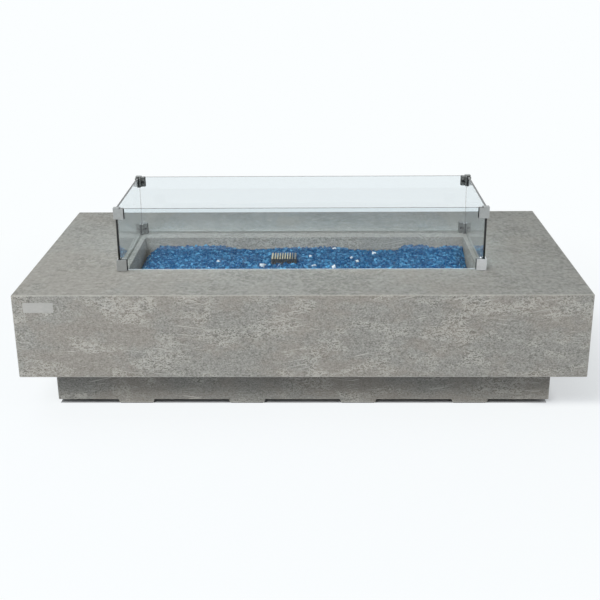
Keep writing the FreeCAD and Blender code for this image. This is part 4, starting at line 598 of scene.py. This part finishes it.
class FIREPIT_OT_controls(bpy.types.Operator):
    """Finishes the niche, the knob, the igniter and what is behind them"""

    bl_idname = "firepit.controls"
    bl_label = "Controls"

    def execute(self, context):
        steel = worn_finish("niche_steel", ink(158, 160, 160), 0.42, 0.35, (120, 6, 120), 0.00004, 0.10)
        knob = worn_finish(
            "knob_black",
            ink(30, 30, 31),
            0.42,
            brush=(110, 110, 110),
            spread=0.2,
            painted=pointer_groove,
        )
        bezel = worn_finish("bezel_black", ink(42, 43, 44), 0.5, brush=(110, 110, 110), spread=0.2)
        red = worn_finish("button_red", ink(172, 34, 30), 0.32)
        valve = worn_finish("valve_cast", ink(158, 158, 154), 0.5, 0.85, (70, 70, 70), 0.0002, 0.2)
        spring = worn_finish("spring_wire", ink(190, 190, 190), 0.25, 1.0, (60, 60, 60), spread=0.15)
        brass = worn_finish("stem_brass", ink(200, 166, 98), 0.3, 1.0, (60, 60, 60), spread=0.14)
        sleeve = worn_finish("battery_sleeve", ink(60, 84, 116), 0.3, brush=(40, 40, 40))
        zinc = worn_finish("niche_zinc", ink(180, 182, 184), 0.32, 1.0, (30, 30, 30), spread=0.18)
        dress(steel, "control_box", "knob_bezel")
        dress(knob, "control_knob")
        dress(bezel, "igniter_housing", "igniter_nut", "igniter_cap")
        dress(red, "ignition_button")
        dress(valve, "valve_body")
        add_spring("valve_spring", 3, spring)
        add_spring("button_spring", 5, spring)
        dress(brass, "valve_stem", "spring_seat")
        dress(sleeve, "igniter_battery")
        dress(zinc, "box_screws", "valve_nut")
        return {"FINISHED"}


class FIREPIT_OT_gas_lines(bpy.types.Operator):
    """Finishes the inlet, the gas lines and the leads"""

    bl_idname = "firepit.gas_lines"
    bl_label = "Gas lines"

    def execute(self, context):
        dress(braid_finish("hose_black", ink(48, 48, 50), ink(18, 18, 19)), "supply_line", "burner_line")
        dress(braid_finish("wire_sleeve", ink(196, 190, 176), ink(120, 114, 100)), "igniter_wire")
        brass = worn_finish("inlet_brass", ink(204, 170, 100), 0.28, 1.0, (50, 50, 50), spread=0.14)
        dress(brass, "gas_inlet", "inlet_locknut", "flare_nuts")
        return {"FINISHED"}


# Wind guard

# A level edge of a pane below this height is its foot
FOOT_LIMIT = TOP + 0.05
# Painted highlight on the clips: they grow bright over these spans, from left to right and from the rear
# to the front
GLINT_ALONG = (-0.3, 0.3)
GLINT_FRONT = (0.05, -0.05)


def pane_finish(name, colours, flat_axis, foot=None):
    """Clear pane: polished faces, upright cut edges that look nearly black, a grey upper edge. Shadow
    rays pass tinted. Where foot is a colour, light passes the lower edge tinted with it."""
    material, tree = new_material(name)
    coordinates = tree.node("TexCoord")
    parts = tree.node("SeparateXYZ", {0: coordinates.outputs["Normal"]}).outputs
    face = tree.calc("GREATER_THAN", tree.calc("ABSOLUTE", parts[flat_axis]), 0.5)
    place = coordinates.outputs["Object"]
    level = tree.calc("GREATER_THAN", tree.calc("ABSOLUTE", parts[2]), 0.5)
    height = tree.node("SeparateXYZ", {0: place}).outputs[2]
    low = tree.calc("MULTIPLY", level, tree.calc("LESS_THAN", height, FOOT_LIMIT))
    smear = tree.noise(tree.stretched(place, (7, 7, 12)), 1, 4)
    edge = tree.blend(level, ink(28, 33, 31), ink(164, 171, 174))
    edge = tree.blend(low, edge, foot or ink(214, 226, 232))
    tint = tree.blend(face, edge, colours.pane_tint)
    shadow_tint = tuple(0.4 + 0.6 * part for part in colours.pane_tint)
    shader = tree.node("BsdfPrincipled", {"Transmission Weight": 1.0, "IOR": 1.5, "Base Color": tint})
    tree.feed(shader.inputs["Roughness"], tree.fade(smear, 0.45, 0.75, 0.0, 0.02))
    clear = tree.node("BsdfTransparent", {"Color": tree.blend(face, tint, shadow_tint)})
    through = tree.node("LightPath").outputs["Is Shadow Ray"]
    if foot:
        through = tree.calc("MAXIMUM", through, low)
    mix = tree.node("MixShader", {0: through, 1: shader.outputs[0], 2: clear.outputs[0]})
    tree.node("OutputMaterial", {"Surface": mix.outputs[0]})
    return material


def clip_finish(name, left, right, metallic):
    """Satin metal with a fine upright grain, with a painted highlight that brightens the front right
    clips and leaves the others dull, and darker on the sides that face the middle of the guard."""

    def build(tree):
        coordinates = tree.node("TexCoord")
        place = coordinates.outputs["Object"]
        along, back, _ = tree.node("SeparateXYZ", {0: place}).outputs
        # Painted highlight: brighter towards the front right clips
        rightward, forward = tree.fade(along, *GLINT_ALONG), tree.fade(back, *GLINT_FRONT)
        bright = tree.calc("MULTIPLY", rightward, forward)
        feeds = {0: coordinates.outputs["Normal"], 1: place}
        outward = tree.node("VectorMath", feeds, operation="DOT_PRODUCT").outputs["Value"]
        grain = tree.noise(tree.stretched(place, (900, 900, 90)), 1, 3, 0.6)
        cloud = tree.noise(place, 60, 4, 0.6)
        metal = tree.blend(bright, left, right)
        mixed = tree.calc("MULTIPLY_ADD", grain, 0.5, tree.calc("MULTIPLY", cloud, 0.5))
        shade = tree.blend(tree.fade(mixed, 0.3, 0.7, 0.24, 0.0), metal, ink(70, 72, 72))
        # Darker on the sides that face the middle of the guard
        inner = tree.fade(outward, -0.06, -0.12)
        inner_darkening = tree.calc("MULTIPLY", inner, tree.fade(cloud, 0.3, 0.6, 0.45, 0.75))
        return {
            "Base_Color": tree.blend(inner_darkening, shade, ink(74, 78, 74)),
            "Roughness": tree.fade(mixed, 0.3, 0.7, 0.5, 0.38),
            "Normal": tree.bump(grain, 0.00005, 0.6),
        }

    return finish_of(name, build, Metallic=metallic)


class FIREPIT_OT_wind_guard(bpy.types.Operator):
    """Finishes the panes, clips, liners, screws and feet of the wind guard"""

    bl_idname = "firepit.wind_guard"
    bl_label = "Wind guard"

    def execute(self, context):
        colours = context.scene.fire_pit_colours
        dress(pane_finish("pane_front", colours, 1), "guard_glass_front")
        dress(pane_finish("pane_rear", colours, 1, ink(46, 52, 50)), "guard_glass_rear")
        ends = pane_finish("pane_end", colours, 0, ink(120, 128, 126))
        dress(ends, "guard_glass_left", "guard_glass_right")
        metal = colours.clip_metal
        dress(clip_finish("clip_upper", metal, metal, 0.45), "guard_clips_top")
        # The lower clips' second colour is their painted highlight
        dress(clip_finish("clip_lower", metal, ink(236, 238, 240), 0.3), "guard_clips_bottom")
        rubber = worn_finish("liner_rubber", ink(24, 24, 25), 0.65, spread=0.3)
        dress(rubber, "guard_clip_liners", "guard_feet")
        screw = worn_finish("clip_screw", ink(58, 59, 60), 0.4, 0.8, (60, 60, 60), spread=0.2)
        dress(screw, "guard_clip_screws")
        return {"FINISHED"}


# Bed of fire glass

LEVEL_DROP = 0.037
END_DROP = 0.072
END_RUN = 0.046
LEVEL_HALF = BED_HIGH.x - END_RUN
ROW_Y = (BED_LOW.y, 0.020, BED_HIGH.y)
STATIONS = (-1, -0.9, -0.77, -0.57, -0.46, -0.27, -0.13, 0.24, 0.36, 0.65, 0.70, 0.81, 0.91, 1)
FRONT_RISE = (0, 2, -1, 1, 2, -1, 0, 2, -1, 1, -1, 1, 0, 1)
MIDDLE_RISE = (1, -1, 2, 1, -2, 0, 1, -1, -3, 0, 1, -1, 1, 0)
REAR_RISE = (5, 4, 5, 5.5, -7, -7.5, -1, -2, -11, -11.5, 4.5, 5, -5, 3)
CHIP_STAND = 0.0045
BANK_RISE = 0.010
BANK_REACH = 0.014
SWELL = 0.0010
CAGE_GAP = 0.0008
CRUST = 0.012
CRUST_SUNK = 0.0010
CRUST_ROUGH = 0.0016
CRUST_FLOOR = 0.2795
PAN_EDGE = 0.2775
# Layers of chips: how far each is sunk, and its shift in pitches
CHIP_LAYERS = ((0.0015, 0.0), (0.0055, 0.5))
CHIP_ROWS = 0.87
CHIP_SHIFT = 0.45
CHIP_RISE = (-0.003, 0.0012)
CHIP_WALL = 0.0055
CHIP_CAGE = 0.0068
CHIP_FLOOR = 0.2835
CHIP_SPANS = (0.62, 1.18)
CHIP_PULL = (-0.42, 0.18)
CHIP_TINTS = (0.8, 2.2)
CRUST_TINTS = (0.0, 0.25)
GLINT_TINTS = (0.2, 0.9)
GLINT_STAND = 0.002
THIRDS = (-0.165, 0.165)
# Near-white chips where glints show: painted highlights in the bed
GLINT_CHIPS = (
    (-0.119, -0.078, 0.0150),
    (0.032, -0.080, 0.0095),
    (0.091, -0.099, 0.0110),
    (0.094, 0.089, 0.0095),
    (0.216, 0.057, 0.0100),
    (0.144, 0.007, 0.0085),
    (0.161, -0.033, 0.0085),
    (-0.255, -0.040, 0.0090),
    (0.020, 0.010, 0.0080),
)


def bed_height(x, y):
    """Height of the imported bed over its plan: rises at stations along a front, a middle and a rear
    row, straight from station to station and from row to row, plus slow swells and a bank against the
    pilot cage that falls off with the distance from it. Each end ramps down to the wall, apart from
    the right rear corner, which stays high."""
    along = np.array(STATIONS) * LEVEL_HALF
    front, middle, rear = (np.interp(x, along, rise) for rise in (FRONT_RISE, MIDDLE_RISE, REAR_RISE))
    forward = np.clip((y - ROW_Y[0]) / (ROW_Y[1] - ROW_Y[0]), 0, 1)
    back = np.clip((y - ROW_Y[1]) / (ROW_Y[2] - ROW_Y[1]), 0, 1)
    rise = np.where(y < ROW_Y[1], front + (middle - front) * forward, middle + (rear - middle) * back)
    swell = SWELL * np.sin(21 * x + 3 * np.sin(17 * y)) * np.cos(27 * y + 1.3 * np.sin(9 * x))
    aside = np.maximum.reduce([HOOD_LOW.x - x, x - HOOD_HIGH.x, HOOD_LOW.y - y, y - HOOD_HIGH.y, 0 * x])
    bank = BANK_RISE * np.exp(-((aside / BANK_REACH) ** 2))
    left = np.clip((-LEVEL_HALF - x) / END_RUN, 0, 1)
    right = np.clip((x - LEVEL_HALF) / END_RUN, 0, 1) * (1 - back)
    ramp = np.maximum(left, right)
    return TOP - LEVEL_DROP + bank + (rise * 0.001 + swell) * (1 - ramp) - (END_DROP - LEVEL_DROP) * ramp


def near_cage(x, y, margin):
    """True within the pilot cage's plan, widened by a margin."""
    inside = (x > HOOD_LOW.x - margin) & (x < HOOD_HIGH.x + margin)
    return inside & (y > HOOD_LOW.y - margin) & (y < HOOD_HIGH.y + margin)


def crust_mesh(step=0.004):
    """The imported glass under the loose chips: two height fields on one grid, the upper a little under
    the bed's top and roughened by a product of sines, the lower one crust below it, with walls where
    a cell has no neighbour. Cells inside the pilot cage are left out."""
    columns = int((BED_HIGH.x - BED_LOW.x) / step)
    rows = int((BED_HIGH.y - BED_LOW.y) / step)
    x = np.linspace(BED_LOW.x, BED_HIGH.x, columns + 1)
    y = np.linspace(BED_LOW.y, BED_HIGH.y, rows + 1)
    for edges, low, high in ((x, HOOD_LOW.x, HOOD_HIGH.x), (y, HOOD_LOW.y, HOOD_HIGH.y)):
        for side in (low - CAGE_GAP, high + CAGE_GAP):
            edges[np.abs(edges - side).argmin()] = side
    plan_x, plan_y = np.meshgrid(x, y)
    rough = CRUST_ROUGH * np.sin(900 * plan_x + 5 * np.sin(700 * plan_y)) * np.sin(810 * plan_y)
    upper = np.maximum(bed_height(plan_x, plan_y) - CRUST_SUNK + rough, CRUST_FLOOR)
    lower = np.maximum(upper - CRUST, PAN_EDGE)
    points = np.concatenate(
        [np.stack([plan_x, plan_y, level], -1).reshape(-1, 3) for level in (upper, lower)]
    )
    count = plan_x.size
    middle_x, middle_y = np.meshgrid((x[1:] + x[:-1]) / 2, (y[1:] + y[:-1]) / 2)
    kept = np.pad(~near_cage(middle_x, middle_y, CAGE_GAP), 1)
    first = np.arange(count).reshape(rows + 1, columns + 1)
    corners = np.stack([first[:-1, :-1], first[:-1, 1:], first[1:, 1:], first[1:, :-1]], -1)
    inside = kept[1:-1, 1:-1]
    faces = [corners[inside], corners[inside][:, ::-1] + count]
    for side, (down, across) in enumerate(((-1, 0), (0, 1), (1, 0), (0, -1))):
        beyond = kept[1 + down : rows + 1 + down, 1 + across : columns + 1 + across]
        wall = corners[inside & ~beyond]
        start, end = wall[:, side], wall[:, (side + 1) % 4]
        faces.append(np.stack([end, start, start + count, end + count], -1))
    return points, np.concatenate(faces)


CHIP_CORNERS = np.array([(a, b, c) for a in (-1, 1) for b in (-1, 1) for c in (-1, 1)], float)
CHIP_FACES = np.array(
    [
        (0, 1, 3), (0, 3, 2), (4, 6, 7), (4, 7, 5), (0, 4, 5), (0, 5, 1),
        (2, 3, 7), (2, 7, 6), (0, 2, 6), (0, 6, 4), (1, 5, 7), (1, 7, 3),
    ]
)  # fmt: skip


def turned_by(numbers):
    """Rotation matrices from rows of four random numbers, each row scaled to a unit quaternion."""
    w, x, y, z = (numbers / np.linalg.norm(numbers, axis=1, keepdims=True)).T
    rows = (
        (1 - 2 * (y * y + z * z), 2 * (x * y - z * w), 2 * (x * z + y * w)),
        (2 * (x * y + z * w), 1 - 2 * (x * x + z * z), 2 * (y * z - x * w)),
        (2 * (x * z - y * w), 2 * (y * z + x * w), 1 - 2 * (x * x + y * y)),
    )
    return np.moveaxis(np.array(rows), -1, 0)


def chip_mesh(centres, spans, random):
    """Chips at the centres: a cube's corners, each pulled in or out at random, stretched by the
    chip's own three spans and turned at random."""
    count = len(centres)
    shapes = CHIP_CORNERS * (1 + random.uniform(*CHIP_PULL, (count, 8, 3)))
    shapes = shapes * spans[:, None, :] / 2
    shapes = np.einsum("nij,nkj->nki", turned_by(random.normal(size=(count, 4))), shapes)
    points = (shapes + centres[:, None, :]).reshape(-1, 3)
    faces = (CHIP_FACES[None] + 8 * np.arange(count)[:, None, None]).reshape(-1, 3)
    return points, faces


def chip_places(pitch, random):
    """Two layers of chip centres on a loosened triangular grid over the bed, clear of the walls
    and of the pilot cage."""
    layers = []
    for sunk, shift in CHIP_LAYERS:
        x = np.arange(BED_LOW.x + 0.005, BED_HIGH.x - 0.004, pitch)
        y = np.arange(BED_LOW.y + 0.005, BED_HIGH.y - 0.004, pitch * CHIP_ROWS)
        plan_x, plan_y = np.meshgrid(x, y)
        plan_x = plan_x + pitch * (0.5 * (np.arange(len(y)) % 2)[:, None] + shift)
        plan = np.stack([plan_x.ravel(), plan_y.ravel()], -1)
        plan += random.uniform(-CHIP_SHIFT, CHIP_SHIFT, plan.shape) * pitch
        plan[:, 0] = np.clip(plan[:, 0], BED_LOW.x + CHIP_WALL, BED_HIGH.x - CHIP_WALL)
        plan[:, 1] = np.clip(plan[:, 1], BED_LOW.y + CHIP_WALL, BED_HIGH.y - CHIP_WALL)
        level = bed_height(plan[:, 0], plan[:, 1]) + CHIP_STAND - sunk
        level += random.uniform(*CHIP_RISE, len(plan))
        layers.append(np.column_stack([plan, np.maximum(level, CHIP_FLOOR)]))
    centres = np.concatenate(layers)
    return centres[~near_cage(centres[:, 0], centres[:, 1], CHIP_CAGE)]


def chip_finish(name, dark, light, clear, bend):
    """Crushed glass: each chip's own tone from its tint value, with gloss from the shader."""

    def build(tree):
        tint = tree.node("Attribute", attribute_name="tint").outputs["Fac"]
        cloud = tree.noise(tree.place(), 160, 3)
        share = tree.calc("MULTIPLY_ADD", cloud, 0.3, tree.calc("SUBTRACT", tint, 0.15))
        return {
            "Base_Color": tree.blend(tree.fade(share, 0.0, 1.0), dark, light),
            "Roughness": tree.fade(cloud, 0.3, 0.7, 0.03, 0.12),
        }

    return finish_of(name, build, Transmission_Weight=clear, IOR=bend, Specular_IOR_Level=0.08)


def tint_chips(piece, tints):
    """Writes each chip's tint on all its corners."""
    values = np.repeat(tints, 8).astype(np.float32)
    piece.data.attributes.new("tint", "FLOAT", "POINT").data.foreach_set("value", values)


class FIREPIT_OT_fire_glass(bpy.types.Operator):
    """Heaps the blue glass: packed crust, two layers of chips and a few near-white chips as painted
    glints
    """

    bl_idname = "firepit.fire_glass"
    bl_label = "Bed of fire glass"

    def execute(self, context):
        colours, sizes = context.scene.fire_pit_colours, context.scene.fire_pit_sizes
        random = np.random.default_rng(sizes.chip_seed)
        blue = chip_finish("blue_glass", colours.glass_deep, colours.glass_bright, 0.15, 1.42)
        pale = chip_finish("glint_glass", ink(232, 242, 248), ink(250, 253, 255), 0.1, 1.5)
        mesh = crust_mesh()
        crust = add_piece("fire_glass_packed", *mesh, "table", "blue_glass", blue, ["fire_glass"])
        points = len(crust.data.vertices)
        tints = random.uniform(*CRUST_TINTS, points).astype(np.float32)
        crust.data.attributes.new("tint", "FLOAT", "POINT").data.foreach_set("value", tints)
        centres = chip_places(sizes.chip_pitch, random)
        spans = sizes.chip_size * random.uniform(*CHIP_SPANS, (len(centres), 3))
        tints = random.beta(*CHIP_TINTS, len(centres))
        thirds = np.digitize(centres[:, 0], THIRDS)
        for place, side in enumerate(("left", "middle", "right")):
            chosen = thirds == place
            mesh = chip_mesh(centres[chosen], spans[chosen], random)
            chips = add_piece(f"fire_glass_chips_{side}", *mesh, "table", "blue_glass", blue)
            tint_chips(chips, tints[chosen])
        # The near-white chips are painted glints
        spots = np.array(GLINT_CHIPS)
        level = bed_height(spots[:, 0], spots[:, 1]) + CHIP_STAND + GLINT_STAND
        mesh = chip_mesh(np.column_stack([spots[:, :2], level]), np.repeat(spots[:, 2:], 3, 1), random)
        chips = add_piece("fire_glass_glint_chips", *mesh, "table", "blue_glass", pale)
        tint_chips(chips, random.uniform(*GLINT_TINTS, len(spots)))
        return {"FINISHED"}


# Floor, light and camera

CAMERA_PLACE = (0.0466, -2.9809, 1.2725)
CAMERA_TURN = (-1.118, 20.018, -0.483)
CAMERA_LENS = 62.03
WORLD_LIGHT = 0.31
# Each lamp: name, place, aim, size, watts and colour
LIGHTS = (
    ("light_key", (-1.3, -3.1, 3.3), (0, 0, 0.2), (1.5, 1.3), 95, (1, 1, 1)),
    ("light_above", (-1.8, 0.4, 2.5), (-0.3, 0, 0.3), (1.8, 1.8), 25, (0.96, 0.985, 1.0)),
    ("light_fill", (2.6, -1.4, 1.8), (0, 0, 0.3), (1.6, 1.6), 14, (1, 1, 1)),
)
FLOOR_HALF = 30.0
# How deep under the plinth's edge the seen floor still reaches
UNDER_EDGE = 0.004
# The white over the floor's shadow: its share near the object grows to 1 far from it, and it is
# less by the last number at the right
SHADOW_NEAR = 0.85
SHADOW_FAR = 1.9
SHADOW_LIFT = 0.88
SHADOW_SIDE = 0.39


def camera_matrix(place, turn):
    """Camera at a place: turned about the vertical, tipped down, then rolled, in degrees."""
    yaw, down, roll = np.radians(turn)
    ahead = np.array((math.sin(yaw) * math.cos(down), math.cos(yaw) * math.cos(down), -math.sin(down)))
    level = np.array((math.cos(yaw), -math.sin(yaw), 0))
    upward = np.cross(level, ahead)
    right = math.cos(roll) * level + math.sin(roll) * upward
    up = math.cos(roll) * upward - math.sin(roll) * level
    matrix = np.eye(4)
    matrix[:3, :4] = np.column_stack([right, up, -ahead, place])
    return Matrix(matrix.tolist())


def add_area_light(name, place, aim, size, watts, colour):
    """A soft rectangular light that looks at a point."""
    light = bpy.data.lights.new(name, "AREA")
    light.shape = "RECTANGLE"
    light.size, light.size_y = size
    light.energy = watts
    light.color = colour
    lamp = bpy.data.objects.new(name, light)
    bpy.context.scene.collection.objects.link(lamp)
    lamp.location = place
    ahead = np.array(aim, float) - np.array(place, float)
    lamp.rotation_mode = "QUATERNION"
    lamp.rotation_quaternion = Vector(ahead.tolist()).to_track_quat("-Z", "Y")


def seen_share(tree):
    """1 on a ray that shows the background as it is: from the camera, a gloss or clear glass."""
    path = tree.node("LightPath").outputs
    seen = tree.calc("MAXIMUM", path["Is Camera Ray"], path["Is Glossy Ray"])
    return tree.calc("MAXIMUM", seen, path["Is Transmission Ray"])


def floor_finish(colour):
    """White paper: a diffuse floor that keeps the shadow, with the backdrop's own white over it where
    it is seen. That share grows with the distance from the object, is less where the shadow falls,
    to the right, and is 0 under the plinth."""
    material, tree = new_material("floor_paper")
    place = tree.place()
    parts = tree.node("SeparateXYZ", {0: place}).outputs
    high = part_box("plinth_shell")[1]
    beyond = [
        tree.calc("SUBTRACT", tree.calc("ABSOLUTE", part), half)
        for part, half in zip(parts, (high.x, high.y))
    ]
    outside = tree.calc("GREATER_THAN", tree.calc("MAXIMUM", *beyond), -UNDER_EDGE)
    distance = tree.node("VectorMath", {0: place}, operation="LENGTH").outputs["Value"]
    share = tree.fade(distance, SHADOW_NEAR, SHADOW_FAR, SHADOW_LIFT, 1.0)
    shaded_side = 1.0
    # Each line: a value, where its share starts and where it is full, and the two shares if not 0 and 1
    for value, *span in (
        (parts[0], 0.60, 0.68),
        (parts[1], -0.37, -0.31),
        (parts[0], 1.10, 0.74, 0.3, 1.0),
        (distance, 1.5, 0.95),
        (parts[1], 0.75, 0.25),
        (parts[0], high.x + 0.04, high.x, 1.0, 1.5),
    ):
        shaded_side = tree.calc("MULTIPLY", shaded_side, tree.fade(value, *span))
    share = tree.calc("MULTIPLY", share, tree.calc("MULTIPLY_ADD", shaded_side, -SHADOW_SIDE, 1.0))
    share = tree.calc("MULTIPLY", tree.calc("MULTIPLY", share, outside), seen_share(tree))
    fibre = tree.noise(place, 260, 3)
    paper = tree.node("BsdfPrincipled", {"Roughness": 0.9, "Specular IOR Level": 0.1})
    fibres = tree.blend(tree.fade(fibre, 0.3, 0.7), ink(240, 244, 253), ink(246, 250, 255))
    # Under the plinth the paper is a darker grey: painted shadow
    tree.feed(paper.inputs["Base Color"], tree.blend(outside, ink(206, 208, 210), fibres))
    white = tree.node("Emission", {"Color": colour, "Strength": 1.0})
    mix = tree.node("MixShader", {0: share, 1: paper.outputs[0], 2: white.outputs[0]})
    tree.node("OutputMaterial", {"Surface": mix.outputs[0]})
    return material


def backdrop_world(colour):
    """White where a camera, gloss or transmission ray meets it, and a plain even light elsewhere."""
    world = bpy.data.worlds.new("studio")
    bpy.context.scene.world = world
    world.use_nodes = True
    tree = Tree(world.node_tree)
    seen = seen_share(tree)
    light = tree.node("Background", {"Color": (0.97, 0.985, 1.0), "Strength": WORLD_LIGHT})
    plain = tree.node("Background", {"Color": colour, "Strength": 1.0})
    mix = tree.node("MixShader", {0: seen, 1: light.outputs[0], 2: plain.outputs[0]})
    tree.node("OutputWorld", {"Surface": mix.outputs[0]})


class FIREPIT_OT_stage(bpy.types.Operator):
    """Sets up the floor, the soft lights, the backdrop and the camera"""

    bl_idname = "firepit.stage"
    bl_label = "Floor, light and camera"

    def execute(self, context):
        colours = context.scene.fire_pit_colours
        scene = context.scene
        scene.view_settings.view_transform = "Standard"
        backdrop_world(colours.backdrop)
        points = [(x * FLOOR_HALF, y * FLOOR_HALF, 0) for x, y in ((-1, -1), (1, -1), (1, 1), (-1, 1))]
        mesh = bpy.data.meshes.new("floor")
        mesh.from_pydata(points, [], [(0, 1, 2, 3)])
        mesh.materials.append(floor_finish(colours.backdrop))
        floor = bpy.data.objects.new("floor", mesh)
        scene.collection.objects.link(floor)
        for light in LIGHTS:
            add_area_light(*light)
        camera = bpy.data.objects.new("camera", bpy.data.cameras.new("camera"))
        camera.data.lens = CAMERA_LENS
        camera.matrix_world = camera_matrix(CAMERA_PLACE, CAMERA_TURN)
        scene.collection.objects.link(camera)
        scene.camera = camera
        return {"FINISHED"}


class FIREPIT_PT_panel(bpy.types.Panel):
    """Lists the finishing steps and their settings"""

    bl_idname = "FIREPIT_PT_panel"
    bl_label = "Fire pit"
    bl_space_type = "VIEW_3D"
    bl_region_type = "UI"
    bl_category = "Fire pit"

    def draw(self, context):
        for step in STEPS:
            self.layout.operator(step.bl_idname)
        for settings in (context.scene.fire_pit_sizes, context.scene.fire_pit_colours):
            box = self.layout.box()
            for name in settings.__annotations__:
                box.prop(settings, name)


STEPS = (
    FIREPIT_OT_stage,
    FIREPIT_OT_cast,
    FIREPIT_OT_name_plate,
    FIREPIT_OT_frame,
    FIREPIT_OT_burner,
    FIREPIT_OT_pilot,
    FIREPIT_OT_fire_glass,
    FIREPIT_OT_controls,
    FIREPIT_OT_gas_lines,
    FIREPIT_OT_wind_guard,
)
CLASSES = (FirePitColours, FirePitSizes, *STEPS, FIREPIT_PT_panel)


def register():
    for item in CLASSES:
        bpy.utils.register_class(item)
    bpy.types.Scene.fire_pit_colours = bpy.props.PointerProperty(type=FirePitColours)
    bpy.types.Scene.fire_pit_sizes = bpy.props.PointerProperty(type=FirePitSizes)


def unregister():
    del bpy.types.Scene.fire_pit_sizes
    del bpy.types.Scene.fire_pit_colours
    for item in reversed(CLASSES):
        bpy.utils.unregister_class(item)


def main():
    """Registers the add-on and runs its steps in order."""
    register()
    for step in STEPS:
        family, name = step.bl_idname.split(".")
        getattr(getattr(bpy.ops, family), name)()


if __name__ == "__main__":
    main()
